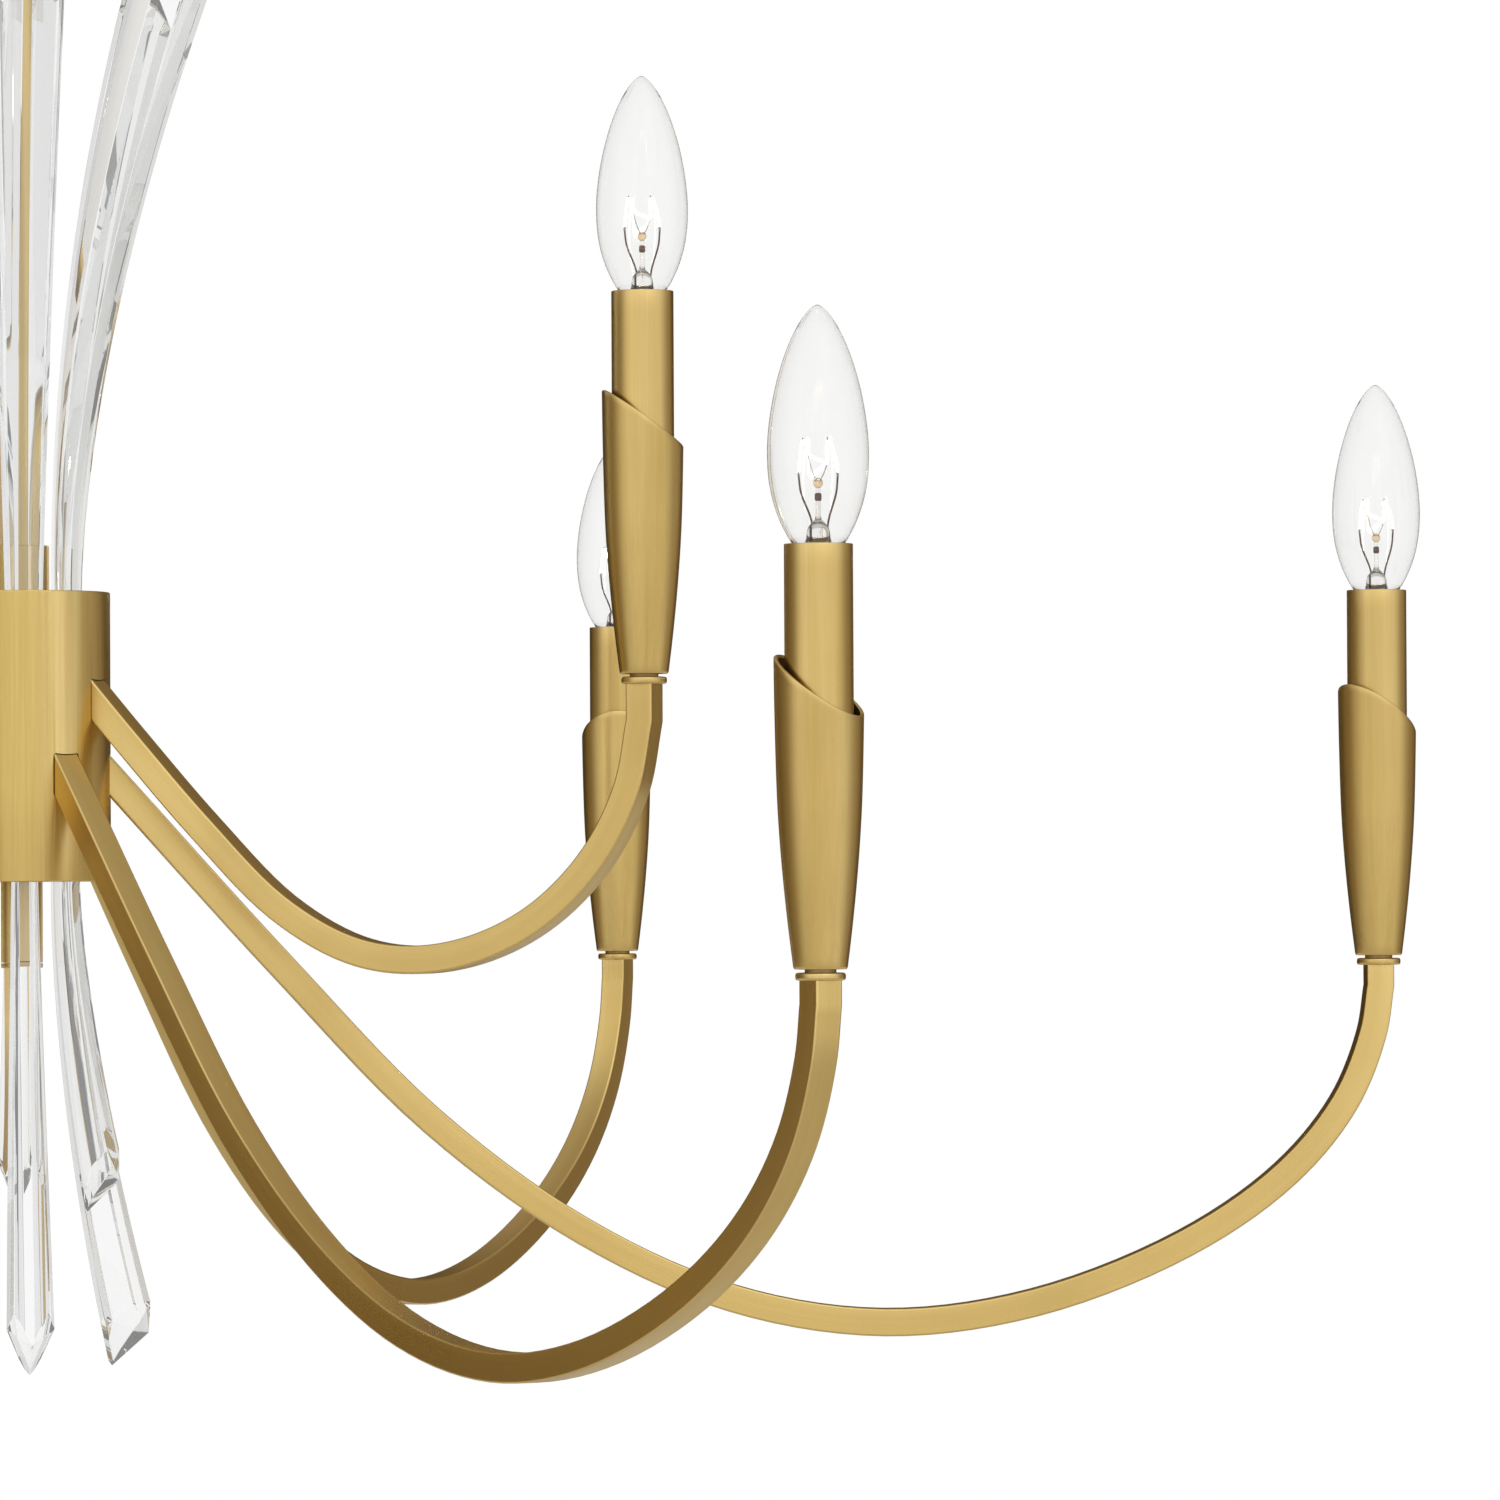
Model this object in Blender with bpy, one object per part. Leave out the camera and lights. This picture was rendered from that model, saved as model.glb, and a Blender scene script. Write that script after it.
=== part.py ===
"""Two-tier candle chandelier in aged brass with faceted glass blades.

Metres, +Z up. The origin is the centre of the ceiling face of the mounting strap.
Azimuth 0 is +X; heights inside the fixture are set from the underside of the hub.
"""
import math

import bmesh
import bpy
from mathutils import Vector

MM = 0.001

# ---------------------------------------------------------------- driving dimensions (mm)
CEILING_TO_HUB_BASE = 500.0
HUB_RADIUS = 32.1
HUB_HEIGHT = 104.1
HUB_WALL = 7.0
CLEAR = 0.3

ARM_SIZE = 10.0
ARM_WALL = 1.5
LOWER_REACH = 493.5
UPPER_REACH = 248.7
LOWER_SLEEVE_TOP = 104.2
UPPER_SLEEVE_TOP = 204.5
LOWER_AZIMUTHS = (-60.0, 0.0, 60.0, 120.0, 180.0, 240.0)
UPPER_AZIMUTHS = (-30.0, 150.0)

CUP_DEPTH = 133.3          # sleeve top down to the underside of the cup
CUP_WALL = 1.3
CUP_RIM_HIGH = 34.5        # sleeve top down to the high and the low side of the rim
CUP_RIM_LOW = 54.0
CUP_TURN = 30.0            # the rim's high side, turned from the inward radius
RING_RADIUS = 7.95
RING_HEIGHT = 2.5
RING_GAP = 1.0
NIPPLE_RADIUS = 5.0
NIPPLE_BORE = 3.2

SLEEVE_RADIUS = 10.85
SLEEVE_WALL = 0.75
SLEEVE_LENGTH = 94.5
HOLDER_RADIUS = 9.3

BULB_RADIUS = 16.0
BULB_HEIGHT = 75.0
BULB_BASE_RADIUS = 6.0
BULB_BASE_DEPTH = 20.0

BLADE_TURN = 3.0
BLADE_DOWN = (-90.0, 30.0, 150.0)      # azimuths of the blades with the long end down
BLADE_UP = (-30.0, 90.0, 210.0)        # and with the long end up
BLADE_WAIST = 0.57         # where the section is widest, from inner to outer face
BLADE_INNER = 0.50         # half width of the inner and of the outer face, of the widest
BLADE_OUTER = 0.73

STEM_RADIUS = 7.5
STEM_END = -31.0           # below the hub
STEM_TOP = 386.0
COLLAR_RADIUS = 10.3
COLLAR_HEIGHT = 17.0

WIRE_RADIUS = 2.5          # round bar of the loops and the link
LOOP_RADIUS = 11.0
LINK_RADIUS = 9.0
LINK_PITCH = 36.0          # between the link's two end bars
CANOPY_RADIUS = 65.0
CANOPY_DEPTH = 26.0
CANOPY_WALL = 1.5
STRAP_LENGTH = 100.0
STRAP_WIDTH = 22.0
STRAP_THICK = 2.5
CANOPY_LOOP_Z = -43.0      # centre of the loop under the canopy, from the ceiling

HUB_BASE_Z = -CEILING_TO_HUB_BASE


# ---------------------------------------------------------------- helpers
def clear_scene():
    for obj in list(bpy.data.objects):
        bpy.data.objects.remove(obj, do_unlink=True)


def material(name, colour, roughness, metallic, transmission=0.0):
    mat = bpy.data.materials.new(name)
    mat.use_nodes = True
    bsdf = mat.node_tree.nodes["Principled BSDF"]
    bsdf.inputs["Base Color"].default_value = (*colour, 1.0)
    bsdf.inputs["Roughness"].default_value = roughness
    bsdf.inputs["Metallic"].default_value = metallic
    bsdf.inputs["Transmission Weight"].default_value = transmission
    return mat


def mesh_from(name, verts, faces):
    """Mesh from millimetre vertices, with its faces turned outward."""
    mesh = bpy.data.meshes.new(name)
    mesh.from_pydata([(x * MM, y * MM, z * MM) for x, y, z in verts], [], faces)
    bm = bmesh.new()
    bm.from_mesh(mesh)
    bmesh.ops.recalc_face_normals(bm, faces=bm.faces)
    bm.to_mesh(mesh)
    bm.free()
    return mesh


def place(name, mesh, mat, location=(0.0, 0.0, 0.0), turn=0.0):
    """Put an object with this mesh in the scene; location in mm, turn in degrees about Z."""
    obj = bpy.data.objects.new(name, mesh)
    bpy.context.scene.collection.objects.link(obj)
    if not mesh.materials:
        mesh.materials.append(mat)
    obj.location = [c * MM for c in location]
    obj.rotation_euler = (0.0, 0.0, math.radians(turn))
    return obj


def lathe(name, profile, segments=24, close=False):
    """Turn a list of (radius, z) about Z. A radius of zero makes a pole.

    With close=True the profile is a closed outline, which gives a ring.
    """
    verts = []
    rings = []
    for radius, z in profile:
        if radius < 1e-6:
            rings.append([len(verts)])
            verts.append((0.0, 0.0, z))
            continue
        ring = []
        for i in range(segments):
            a = 2.0 * math.pi * i / segments
            ring.append(len(verts))
            verts.append((radius * math.cos(a), radius * math.sin(a), z))
        rings.append(ring)
    faces = []
    pairs = list(zip(rings, rings[1:]))
    if close:
        pairs.append((rings[-1], rings[0]))
    for lower, upper in pairs:
        for i in range(segments):
            j = (i + 1) % segments
            if len(lower) == 1:
                faces.append((lower[0], upper[j], upper[i]))
            elif len(upper) == 1:
                faces.append((lower[i], lower[j], upper[0]))
            else:
                faces.append((lower[i], lower[j], upper[j], upper[i]))
    return mesh_from(name, verts, faces)


def smooth_path(points, per_span):
    """Points along a centripetal Catmull-Rom curve through the given 2D points."""
    pts = [Vector(p) for p in points]
    first = pts[0] * 2.0 - pts[1]
    last = pts[-1] * 2.0 - pts[-2]
    pts = [first] + pts + [last]
    out = [pts[1]]
    for k in range(1, len(pts) - 2):
        p0, p1, p2, p3 = pts[k - 1:k + 3]
        t0 = 0.0
        t1 = t0 + math.sqrt((p1 - p0).length)
        t2 = t1 + math.sqrt((p2 - p1).length)
        t3 = t2 + math.sqrt((p3 - p2).length)
        for step in range(1, per_span + 1):
            t = t1 + (t2 - t1) * step / per_span
            a1 = p0.lerp(p1, (t - t0) / (t1 - t0))
            a2 = p1.lerp(p2, (t - t1) / (t2 - t1))
            a3 = p2.lerp(p3, (t - t2) / (t3 - t2))
            b1 = a1.lerp(a2, (t - t0) / (t2 - t0))
            b2 = a2.lerp(a3, (t - t1) / (t3 - t1))
            out.append(b1.lerp(b2, (t - t1) / (t2 - t1)))
    return out


def square_section(path, half):
    """Rings of four corners along a path in the XZ plane; the first ring stands upright."""
    rings = []
    for i, p in enumerate(path):
        before = path[max(i - 1, 0)]
        after = path[min(i + 1, len(path) - 1)]
        tangent = (after - before).normalized()
        normal = Vector((-tangent.y, tangent.x))
        if i == 0:
            normal = Vector((0.0, 1.0 / tangent.x))
        ring = []
        for side, up in ((-1, -1), (1, -1), (1, 1), (-1, 1)):
            ring.append((p.x + normal.x * half * up, side * half, p.y + normal.y * half * up))
        rings.append(ring)
    return rings


def apply_boolean(target, cutter, operation):
    """Run an exact Boolean on the target object and keep the result as its mesh."""
    mod = target.modifiers.new("bool", "BOOLEAN")
    mod.operation = operation
    mod.solver = "EXACT"
    mod.object = cutter
    bpy.context.view_layer.update()
    deps = bpy.context.evaluated_depsgraph_get()
    result = bpy.data.meshes.new_from_object(target.evaluated_get(deps), depsgraph=deps)
    result.name = target.data.name
    target.modifiers.clear()
    target.data = result
    bpy.data.objects.remove(cutter, do_unlink=True)


def temporary(name, mesh):
    obj = bpy.data.objects.new(name, mesh)
    bpy.context.scene.collection.objects.link(obj)
    return obj


def smooth_round(mesh, angle=35.0):
    mesh.shade_smooth()
    mesh.set_sharp_from_angle(angle=math.radians(angle))


# ---------------------------------------------------------------- arms
LOWER_CURVE = (
    (25.3, 45.2), (39.6, 29.2), (93.6, -31.0), (147.7, -87.3), (202.0, -127.3),
    (256.0, -152.0), (311.0, -161.2), (366.0, -154.6), (421.5, -133.5),
    (458.5, -108.5), (480.0, -83.0), (490.5, -58.0), (LOWER_REACH, -40.0),
)
UPPER_CURVE = (
    (25.3, 71.8), (45.4, 50.0), (75.5, 18.6), (106.3, -9.6), (135.0, -24.6),
    (160.0, -28.2), (186.0, -23.8), (210.0, -12.0), (230.5, 7.5), (243.5, 31.0),
    (UPPER_REACH, 55.0),
)


def arm_mesh(name, curve, reach, sleeve_top):
    """A bent square tube with its check ring and threaded nipple brazed on the end."""
    top = sleeve_top - CUP_DEPTH - RING_GAP - RING_HEIGHT
    path = smooth_path(curve, 2)
    path.append(Vector((reach, top + 0.6)))
    outer = square_section(path, ARM_SIZE / 2.0)
    inner = square_section(path, ARM_SIZE / 2.0 - ARM_WALL)
    verts = []
    for ring in outer + inner:
        verts.extend(ring)
    count = len(path)
    faces = []
    for wall in (0, count):
        for i in range(count - 1):
            a = (wall + i) * 4
            b = a + 4
            for k in range(4):
                j = (k + 1) % 4
                quad = (a + k, a + j, b + j, b + k)
                faces.append(quad if wall == 0 else quad[::-1])
    for end in (0, count - 1):
        a = end * 4
        b = (count + end) * 4
        for k in range(4):
            j = (k + 1) % 4
            quad = (a + k, a + j, b + j, b + k)
            faces.append(quad if end else quad[::-1])
    tube = temporary(name, mesh_from(name, verts, faces))
    ring_top = top + RING_HEIGHT
    nipple_top = ring_top + RING_GAP + 22.0
    bulge = RING_RADIUS - 0.9
    profile = [
        (NIPPLE_BORE, top), (bulge, top), (RING_RADIUS, top + 0.8),
        (RING_RADIUS, ring_top - 0.8), (bulge, ring_top), (NIPPLE_RADIUS, ring_top),
        (NIPPLE_RADIUS, nipple_top), (NIPPLE_BORE, nipple_top),
    ]
    end_piece = temporary("ring", lathe("ring", profile, 14, close=True))
    end_piece.location = (reach * MM, 0.0, 0.0)
    apply_boolean(tube, end_piece, "UNION")
    mesh = tube.data
    bpy.data.objects.remove(tube, do_unlink=True)
    smooth_round(mesh, 40.0)
    return mesh


# ---------------------------------------------------------------- candle pieces
CUP_OUTLINE = (
    (34.0, 14.3), (54.5, 14.05), (79.5, 13.4), (92.0, 12.7), (104.5, 11.7),
    (117.0, 10.45), (126.0, 9.4), (132.3, 8.6), (133.3, 8.0),
)


def cup_radius(depth):
    """Outer radius of the tulip cup at a depth below the sleeve's top edge."""
    for (d0, r0), (d1, r1) in zip(CUP_OUTLINE, CUP_OUTLINE[1:]):
        if depth <= d1:
            return r0 + (r1 - r0) * (depth - d0) / (d1 - d0)
    return CUP_OUTLINE[-1][1]


def cup_mesh():
    """Tulip cup about Z, z = 0 at the sleeve's top edge, rim cut by a slanting plane.

    The rim is high towards +X; the floor has a hole for the nipple.
    """
    segments = 18
    middle = (CUP_RIM_HIGH + CUP_RIM_LOW) / 2.0
    swing = (CUP_RIM_LOW - CUP_RIM_HIGH) / 2.0
    depths = (79.5, 104.5, 120.0, CUP_DEPTH)
    verts = []
    rings = []

    def add_ring(radius_of, depth_of):
        ring = []
        for i in range(segments):
            a = 2.0 * math.pi * i / segments
            d = depth_of(a)
            r = radius_of(d)
            ring.append(len(verts))
            verts.append((r * math.cos(a), r * math.sin(a), -d))
        rings.append(ring)

    def rim(a):
        return middle - swing * math.cos(a)

    floor = CUP_DEPTH - 3.0
    add_ring(cup_radius, rim)
    for depth in depths:
        add_ring(cup_radius, lambda a, d=depth: d)
    add_ring(lambda d: NIPPLE_RADIUS + CLEAR, lambda a: CUP_DEPTH)
    add_ring(lambda d: NIPPLE_RADIUS + CLEAR, lambda a: floor)
    for depth in (floor, 104.5, 79.5):
        add_ring(lambda d: cup_radius(d) - CUP_WALL, lambda a, d=depth: d)
    add_ring(lambda d: cup_radius(d) - CUP_WALL, rim)
    faces = []
    for lower, upper in list(zip(rings, rings[1:])) + [(rings[-1], rings[0])]:
        for i in range(segments):
            j = (i + 1) % segments
            faces.append((lower[i], lower[j], upper[j], upper[i]))
    mesh = mesh_from("cup", verts, faces)
    smooth_round(mesh)
    return mesh


def sleeve_mesh():
    inner = SLEEVE_RADIUS - SLEEVE_WALL
    profile = [
        (inner, 0.0), (SLEEVE_RADIUS, 0.0), (SLEEVE_RADIUS, -SLEEVE_LENGTH),
        (inner, -SLEEVE_LENGTH),
    ]
    mesh = lathe("sleeve", profile, 18, close=True)
    smooth_round(mesh)
    return mesh


def holder_mesh():
    """Lampholder: a socket on a narrow stand, bored through for its wires."""
    stand = -(CUP_DEPTH - 3.0 - CLEAR)
    nipple = stand + 22.0
    profile = [
        (BULB_BASE_RADIUS + 0.5, -2.5), (HOLDER_RADIUS, -2.5), (HOLDER_RADIUS, -58.0),
        (6.8, -62.0), (6.8, stand), (NIPPLE_RADIUS + CLEAR, stand),
        (NIPPLE_RADIUS + CLEAR, nipple), (2.0, nipple), (2.0, -27.0),
        (BULB_BASE_RADIUS + 0.5, -27.0),
    ]
    mesh = lathe("lampholder", profile, 12, close=True)
    smooth_round(mesh)
    return mesh


def bulb_radius(h):
    """Radius of the torpedo bulb at height h above the sleeve's top edge."""
    widest = 29.0
    if h <= widest:
        t = (widest - h) / widest
        return BULB_RADIUS * (1.0 - 0.48 * t ** 2.41)
    t = (h - widest) / (BULB_HEIGHT - widest)
    return BULB_RADIUS * (1.0 - t ** 1.7) ** 0.64


def bulb_mesh():
    """Torpedo bulb with its screw base, z = 0 at the sleeve's top edge."""
    profile = [(0.0, -BULB_BASE_DEPTH - 4.0), (2.6, -BULB_BASE_DEPTH - 3.6)]
    profile.append((BULB_BASE_RADIUS, -BULB_BASE_DEPTH))
    profile.append((BULB_BASE_RADIUS, -1.6))
    for h in (0.0, 6.0, 13.0, 21.0, 29.0, 38.0, 47.0, 56.0, 64.0, 70.5, 73.8):
        profile.append((bulb_radius(h), h))
    profile.append((0.0, BULB_HEIGHT))
    mesh = lathe("bulb", profile, 14)
    smooth_round(mesh, 60.0)
    return mesh


# ---------------------------------------------------------------- glass blades
def blade_shape(z):
    """Inner radius, outer radius and greatest half width of a blade at height z."""
    if z > HUB_HEIGHT:
        h = (z - HUB_HEIGHT) / 262.0
        half = 6.9 + 7.5 * h
        inner = 16.3 + 48.6 * h ** 2.0
        outer = 21.0 + 68.5 * h ** 1.7
    elif z < 0.0:
        h = -z / 175.0
        half = 4.85 + 4.1 * h
        inner = 14.9 + 25.8 * h ** 1.75
        outer = 20.9 + 35.7 * h ** 1.55
    else:
        t = z / HUB_HEIGHT
        half = 4.85 + 2.05 * t
        inner = 14.9 + 1.4 * t
        outer = 20.9 + 0.1 * t
    return inner - 0.29 * half, outer + 0.155 * half, half


def blade_mesh(name, top, bottom):
    """A six-sided blade out along +X, widest between its inner and its outer face.

    top and bottom hold the heights of the end's corners: outer corner, middle of the
    outer face, widest corner, inner corner, and the point on the inner face.
    """
    upper_steps = 7
    lower_steps = 5
    verts = []
    faces = []
    levels = []
    for i in range(upper_steps, 0, -1):
        f = i / upper_steps
        levels.append([HUB_HEIGHT + (h - HUB_HEIGHT) * f for h in top])
    levels.append([HUB_HEIGHT] * 5)
    levels.append([0.0] * 5)
    for i in range(1, lower_steps + 1):
        f = i / lower_steps
        levels.append([h * f for h in bottom])
    for outer_z, outer_mid, waist_z, inner_z, inner_mid in levels:
        corners = (
            (1.0, -BLADE_OUTER, outer_z), (1.0, 0.0, outer_mid), (1.0, BLADE_OUTER, outer_z),
            (BLADE_WAIST, 1.0, waist_z), (0.0, BLADE_INNER, inner_z), (0.0, 0.0, inner_mid),
            (0.0, -BLADE_INNER, inner_z), (BLADE_WAIST, -1.0, waist_z),
        )
        for depth, side, z in corners:
            inner, outer, half = blade_shape(z)
            verts.append((inner + (outer - inner) * depth, side * half, z))
    count = len(levels)
    for i in range(count - 1):
        a = i * 8
        b = a + 8
        for k in range(8):
            j = (k + 1) % 8
            faces.append((a + k, a + j, b + j, b + k))
    for a in (0, (count - 1) * 8):
        faces.append((a, a + 1, a + 7))
        faces.append((a + 1, a + 2, a + 3))
        faces.append((a + 1, a + 3, a + 5))
        faces.append((a + 1, a + 5, a + 7))
        faces.append((a + 3, a + 4, a + 5))
        faces.append((a + 5, a + 6, a + 7))
    return mesh_from(name, verts, faces)


# ---------------------------------------------------------------- hub
def hub_body_mesh():
    """Tube of the hub with a sloping square window for each arm."""
    inner = HUB_RADIUS - HUB_WALL
    edge = 0.5
    profile = [
        (inner, 0.0), (HUB_RADIUS - edge, 0.0), (HUB_RADIUS, edge),
        (HUB_RADIUS, HUB_HEIGHT - edge), (HUB_RADIUS - edge, HUB_HEIGHT),
        (inner, HUB_HEIGHT),
    ]
    body = temporary("hub_body", lathe("hub_body", profile, 36, close=True))
    half = ARM_SIZE / 2.0 + CLEAR
    for curve, azimuths in ((LOWER_CURVE, LOWER_AZIMUTHS), (UPPER_CURVE, UPPER_AZIMUTHS)):
        start = Vector(curve[0])
        run = (Vector(curve[1]) - start).normalized()
        ends = (start - run * 6.0, start + run * 30.0)
        normal = Vector((-run.y, run.x)) * half
        verts = []
        for p in ends:
            for side, up in ((-1, -1), (1, -1), (1, 1), (-1, 1)):
                verts.append((p.x + normal.x * up, side * half, p.y + normal.y * up))
        faces = [(3, 2, 1, 0), (4, 5, 6, 7)]
        for k in range(4):
            j = (k + 1) % 4
            faces.append((k, j, j + 4, k + 4))
        for azimuth in azimuths:
            cutter = temporary("window", mesh_from("window", verts, faces))
            cutter.rotation_euler = (0.0, 0.0, math.radians(azimuth))
            apply_boolean(body, cutter, "DIFFERENCE")
    mesh = body.data
    bpy.data.objects.remove(body, do_unlink=True)
    smooth_round(mesh, 25.0)
    return mesh


def hub_core_mesh():
    """Core of the hub with its neck, the stem's bore and a slot for each blade."""
    outer = HUB_RADIUS - HUB_WALL - CLEAR
    bore = STEM_RADIUS + CLEAR
    profile = [
        (bore, 1.0), (outer, 1.0), (outer, HUB_HEIGHT - 1.0),
        (COLLAR_RADIUS, HUB_HEIGHT - 1.0), (COLLAR_RADIUS, HUB_HEIGHT + COLLAR_HEIGHT),
        (bore, HUB_HEIGHT + COLLAR_HEIGHT),
    ]
    core = temporary("hub_core", lathe("hub_core", profile, 30, close=True))
    slot = ((13.1, -3.9), (18.4, -7.4), (22.6, -5.6), (22.6, 5.6), (18.4, 7.4), (13.1, 3.9))
    for azimuth in BLADE_DOWN + BLADE_UP:
        verts = []
        for z in (-5.0, HUB_HEIGHT + 5.0):
            for x, y in slot:
                verts.append((x, y, z))
        faces = [(5, 4, 3, 2, 1, 0), (6, 7, 8, 9, 10, 11)]
        for k in range(6):
            j = (k + 1) % 6
            faces.append((k, j, j + 6, k + 6))
        cutter = temporary("slot", mesh_from("slot", verts, faces))
        cutter.rotation_euler = (0.0, 0.0, math.radians(azimuth + BLADE_TURN))
        apply_boolean(core, cutter, "DIFFERENCE")
    mesh = core.data
    bpy.data.objects.remove(core, do_unlink=True)
    smooth_round(mesh, 25.0)
    return mesh


def stem_mesh():
    """Stem from the end below the hub up to the foot of its loop."""
    profile = [
        (0.0, STEM_END + 2.0), (STEM_RADIUS, STEM_END + 2.0), (STEM_RADIUS, STEM_TOP),
        (0.0, STEM_TOP),
    ]
    mesh = lathe("stem", profile, 24)
    smooth_round(mesh)
    return mesh


def stem_cap_mesh():
    """Flat cap under the stem."""
    profile = [
        (0.0, STEM_END), (STEM_RADIUS - 0.3, STEM_END), (STEM_RADIUS, STEM_END + 0.3),
        (STEM_RADIUS, STEM_END + 1.7), (0.0, STEM_END + 1.7),
    ]
    mesh = lathe("stem_cap", profile, 24)
    smooth_round(mesh)
    return mesh


# ---------------------------------------------------------------- suspension
def torus_verts(tangent_side, wire, sides=8):
    """Rings of a round bar along a closed path of points with their sideways vectors."""
    verts = []
    faces = []
    for p, side, up in tangent_side:
        for k in range(sides):
            a = 2.0 * math.pi * k / sides
            q = p + side * (wire * math.cos(a)) + up * (wire * math.sin(a))
            verts.append(tuple(q))
    count = len(tangent_side)
    for i in range(count):
        a = i * sides
        b = ((i + 1) % count) * sides
        for k in range(sides):
            j = (k + 1) % sides
            faces.append((a + k, a + j, b + j, b + k))
    return verts, faces


def loop_ring(centre_z, steps=20):
    """Round loop in the XZ plane about (0, 0, centre_z)."""
    frames = []
    for i in range(steps):
        a = 2.0 * math.pi * i / steps
        out = Vector((math.sin(a), 0.0, math.cos(a)))
        frames.append((out * LOOP_RADIUS + Vector((0, 0, centre_z)), out, Vector((0, 1, 0))))
    return torus_verts(frames, WIRE_RADIUS)


def loop_mesh(name, centre_z, foot):
    """A loop joined to its turned foot; foot is the foot's (radius, z) outline."""
    verts, faces = loop_ring(centre_z)
    ring = temporary(name, mesh_from(name, verts, faces))
    base = temporary("foot", lathe("foot", foot, 24))
    apply_boolean(ring, base, "UNION")
    mesh = ring.data
    bpy.data.objects.remove(ring, do_unlink=True)
    smooth_round(mesh, 40.0)
    return mesh


def link_mesh(top_bar_z):
    """Oval link in the YZ plane; the upper bar's centre is at top_bar_z."""
    straight = LINK_PITCH - 2.0 * LINK_RADIUS
    frames = []
    for half, centre in ((0, top_bar_z - LINK_RADIUS), (1, top_bar_z - LINK_RADIUS - straight)):
        for i in range(9):
            a = math.pi * i / 8.0 + math.pi * half
            out = Vector((0.0, math.cos(a), math.sin(a)))
            p = out * LINK_RADIUS + Vector((0.0, 0.0, centre))
            frames.append((p, out, Vector((1.0, 0.0, 0.0))))
    verts, faces = torus_verts(frames, WIRE_RADIUS)
    mesh = mesh_from("link", verts, faces)
    smooth_round(mesh, 60.0)
    return mesh


def canopy_mesh():
    """Shallow dome against the ceiling, open above, with a hole for the loop's stud."""
    outer = []
    inner = []
    for i in range(6):
        a = math.pi / 2.0 * i / 5.0
        r = 12.0 + (CANOPY_RADIUS - 12.0) * math.cos(a)
        z = -6.0 - (CANOPY_DEPTH - 6.0) * math.sin(a)
        outer.append((r, z))
        ri = 12.0 + (CANOPY_RADIUS - 12.0 - CANOPY_WALL) * math.cos(a)
        zi = -6.0 - (CANOPY_DEPTH - 6.0 - CANOPY_WALL) * math.sin(a)
        inner.append((ri, zi))
    hole = NIPPLE_RADIUS + CLEAR
    profile = [(CANOPY_RADIUS, -0.3)] + outer + [(hole, -CANOPY_DEPTH)]
    profile += [(hole, -CANOPY_DEPTH + CANOPY_WALL)] + inner[::-1]
    profile += [(CANOPY_RADIUS - CANOPY_WALL, -0.3)]
    mesh = lathe("canopy", profile, 30, close=True)
    smooth_round(mesh, 30.0)
    return mesh


def strap_mesh():
    """Flat mounting strap with a blind threaded boss under its middle."""
    half_l = STRAP_LENGTH / 2.0
    half_w = STRAP_WIDTH / 2.0
    verts = []
    for z in (-STRAP_THICK, 0.0):
        verts += [(-half_l, -half_w, z), (half_l, -half_w, z), (half_l, half_w, z),
                  (-half_l, half_w, z)]
    faces = [(3, 2, 1, 0), (4, 5, 6, 7)]
    for k in range(4):
        j = (k + 1) % 4
        faces.append((k, j, j + 4, k + 4))
    strap = temporary("strap", mesh_from("ceiling_strap", verts, faces))
    bore = NIPPLE_RADIUS + CLEAR
    profile = [
        (0.0, -1.5), (9.0, -1.5), (9.0, -12.0), (bore, -12.0), (bore, -2.8), (0.0, -2.8),
    ]
    boss = temporary("boss", lathe("boss", profile, 24))
    apply_boolean(strap, boss, "UNION")
    for x in (-35.0, 35.0):
        outline = [(0.0, -6.0), (2.6, -6.0), (2.6, 3.0), (0.0, 3.0)]
        hole = temporary("hole", lathe("hole", outline, 16))
        hole.location = (x * MM, 0.0, 0.0)
        apply_boolean(strap, hole, "DIFFERENCE")
    mesh = strap.data
    bpy.data.objects.remove(strap, do_unlink=True)
    return mesh


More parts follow.
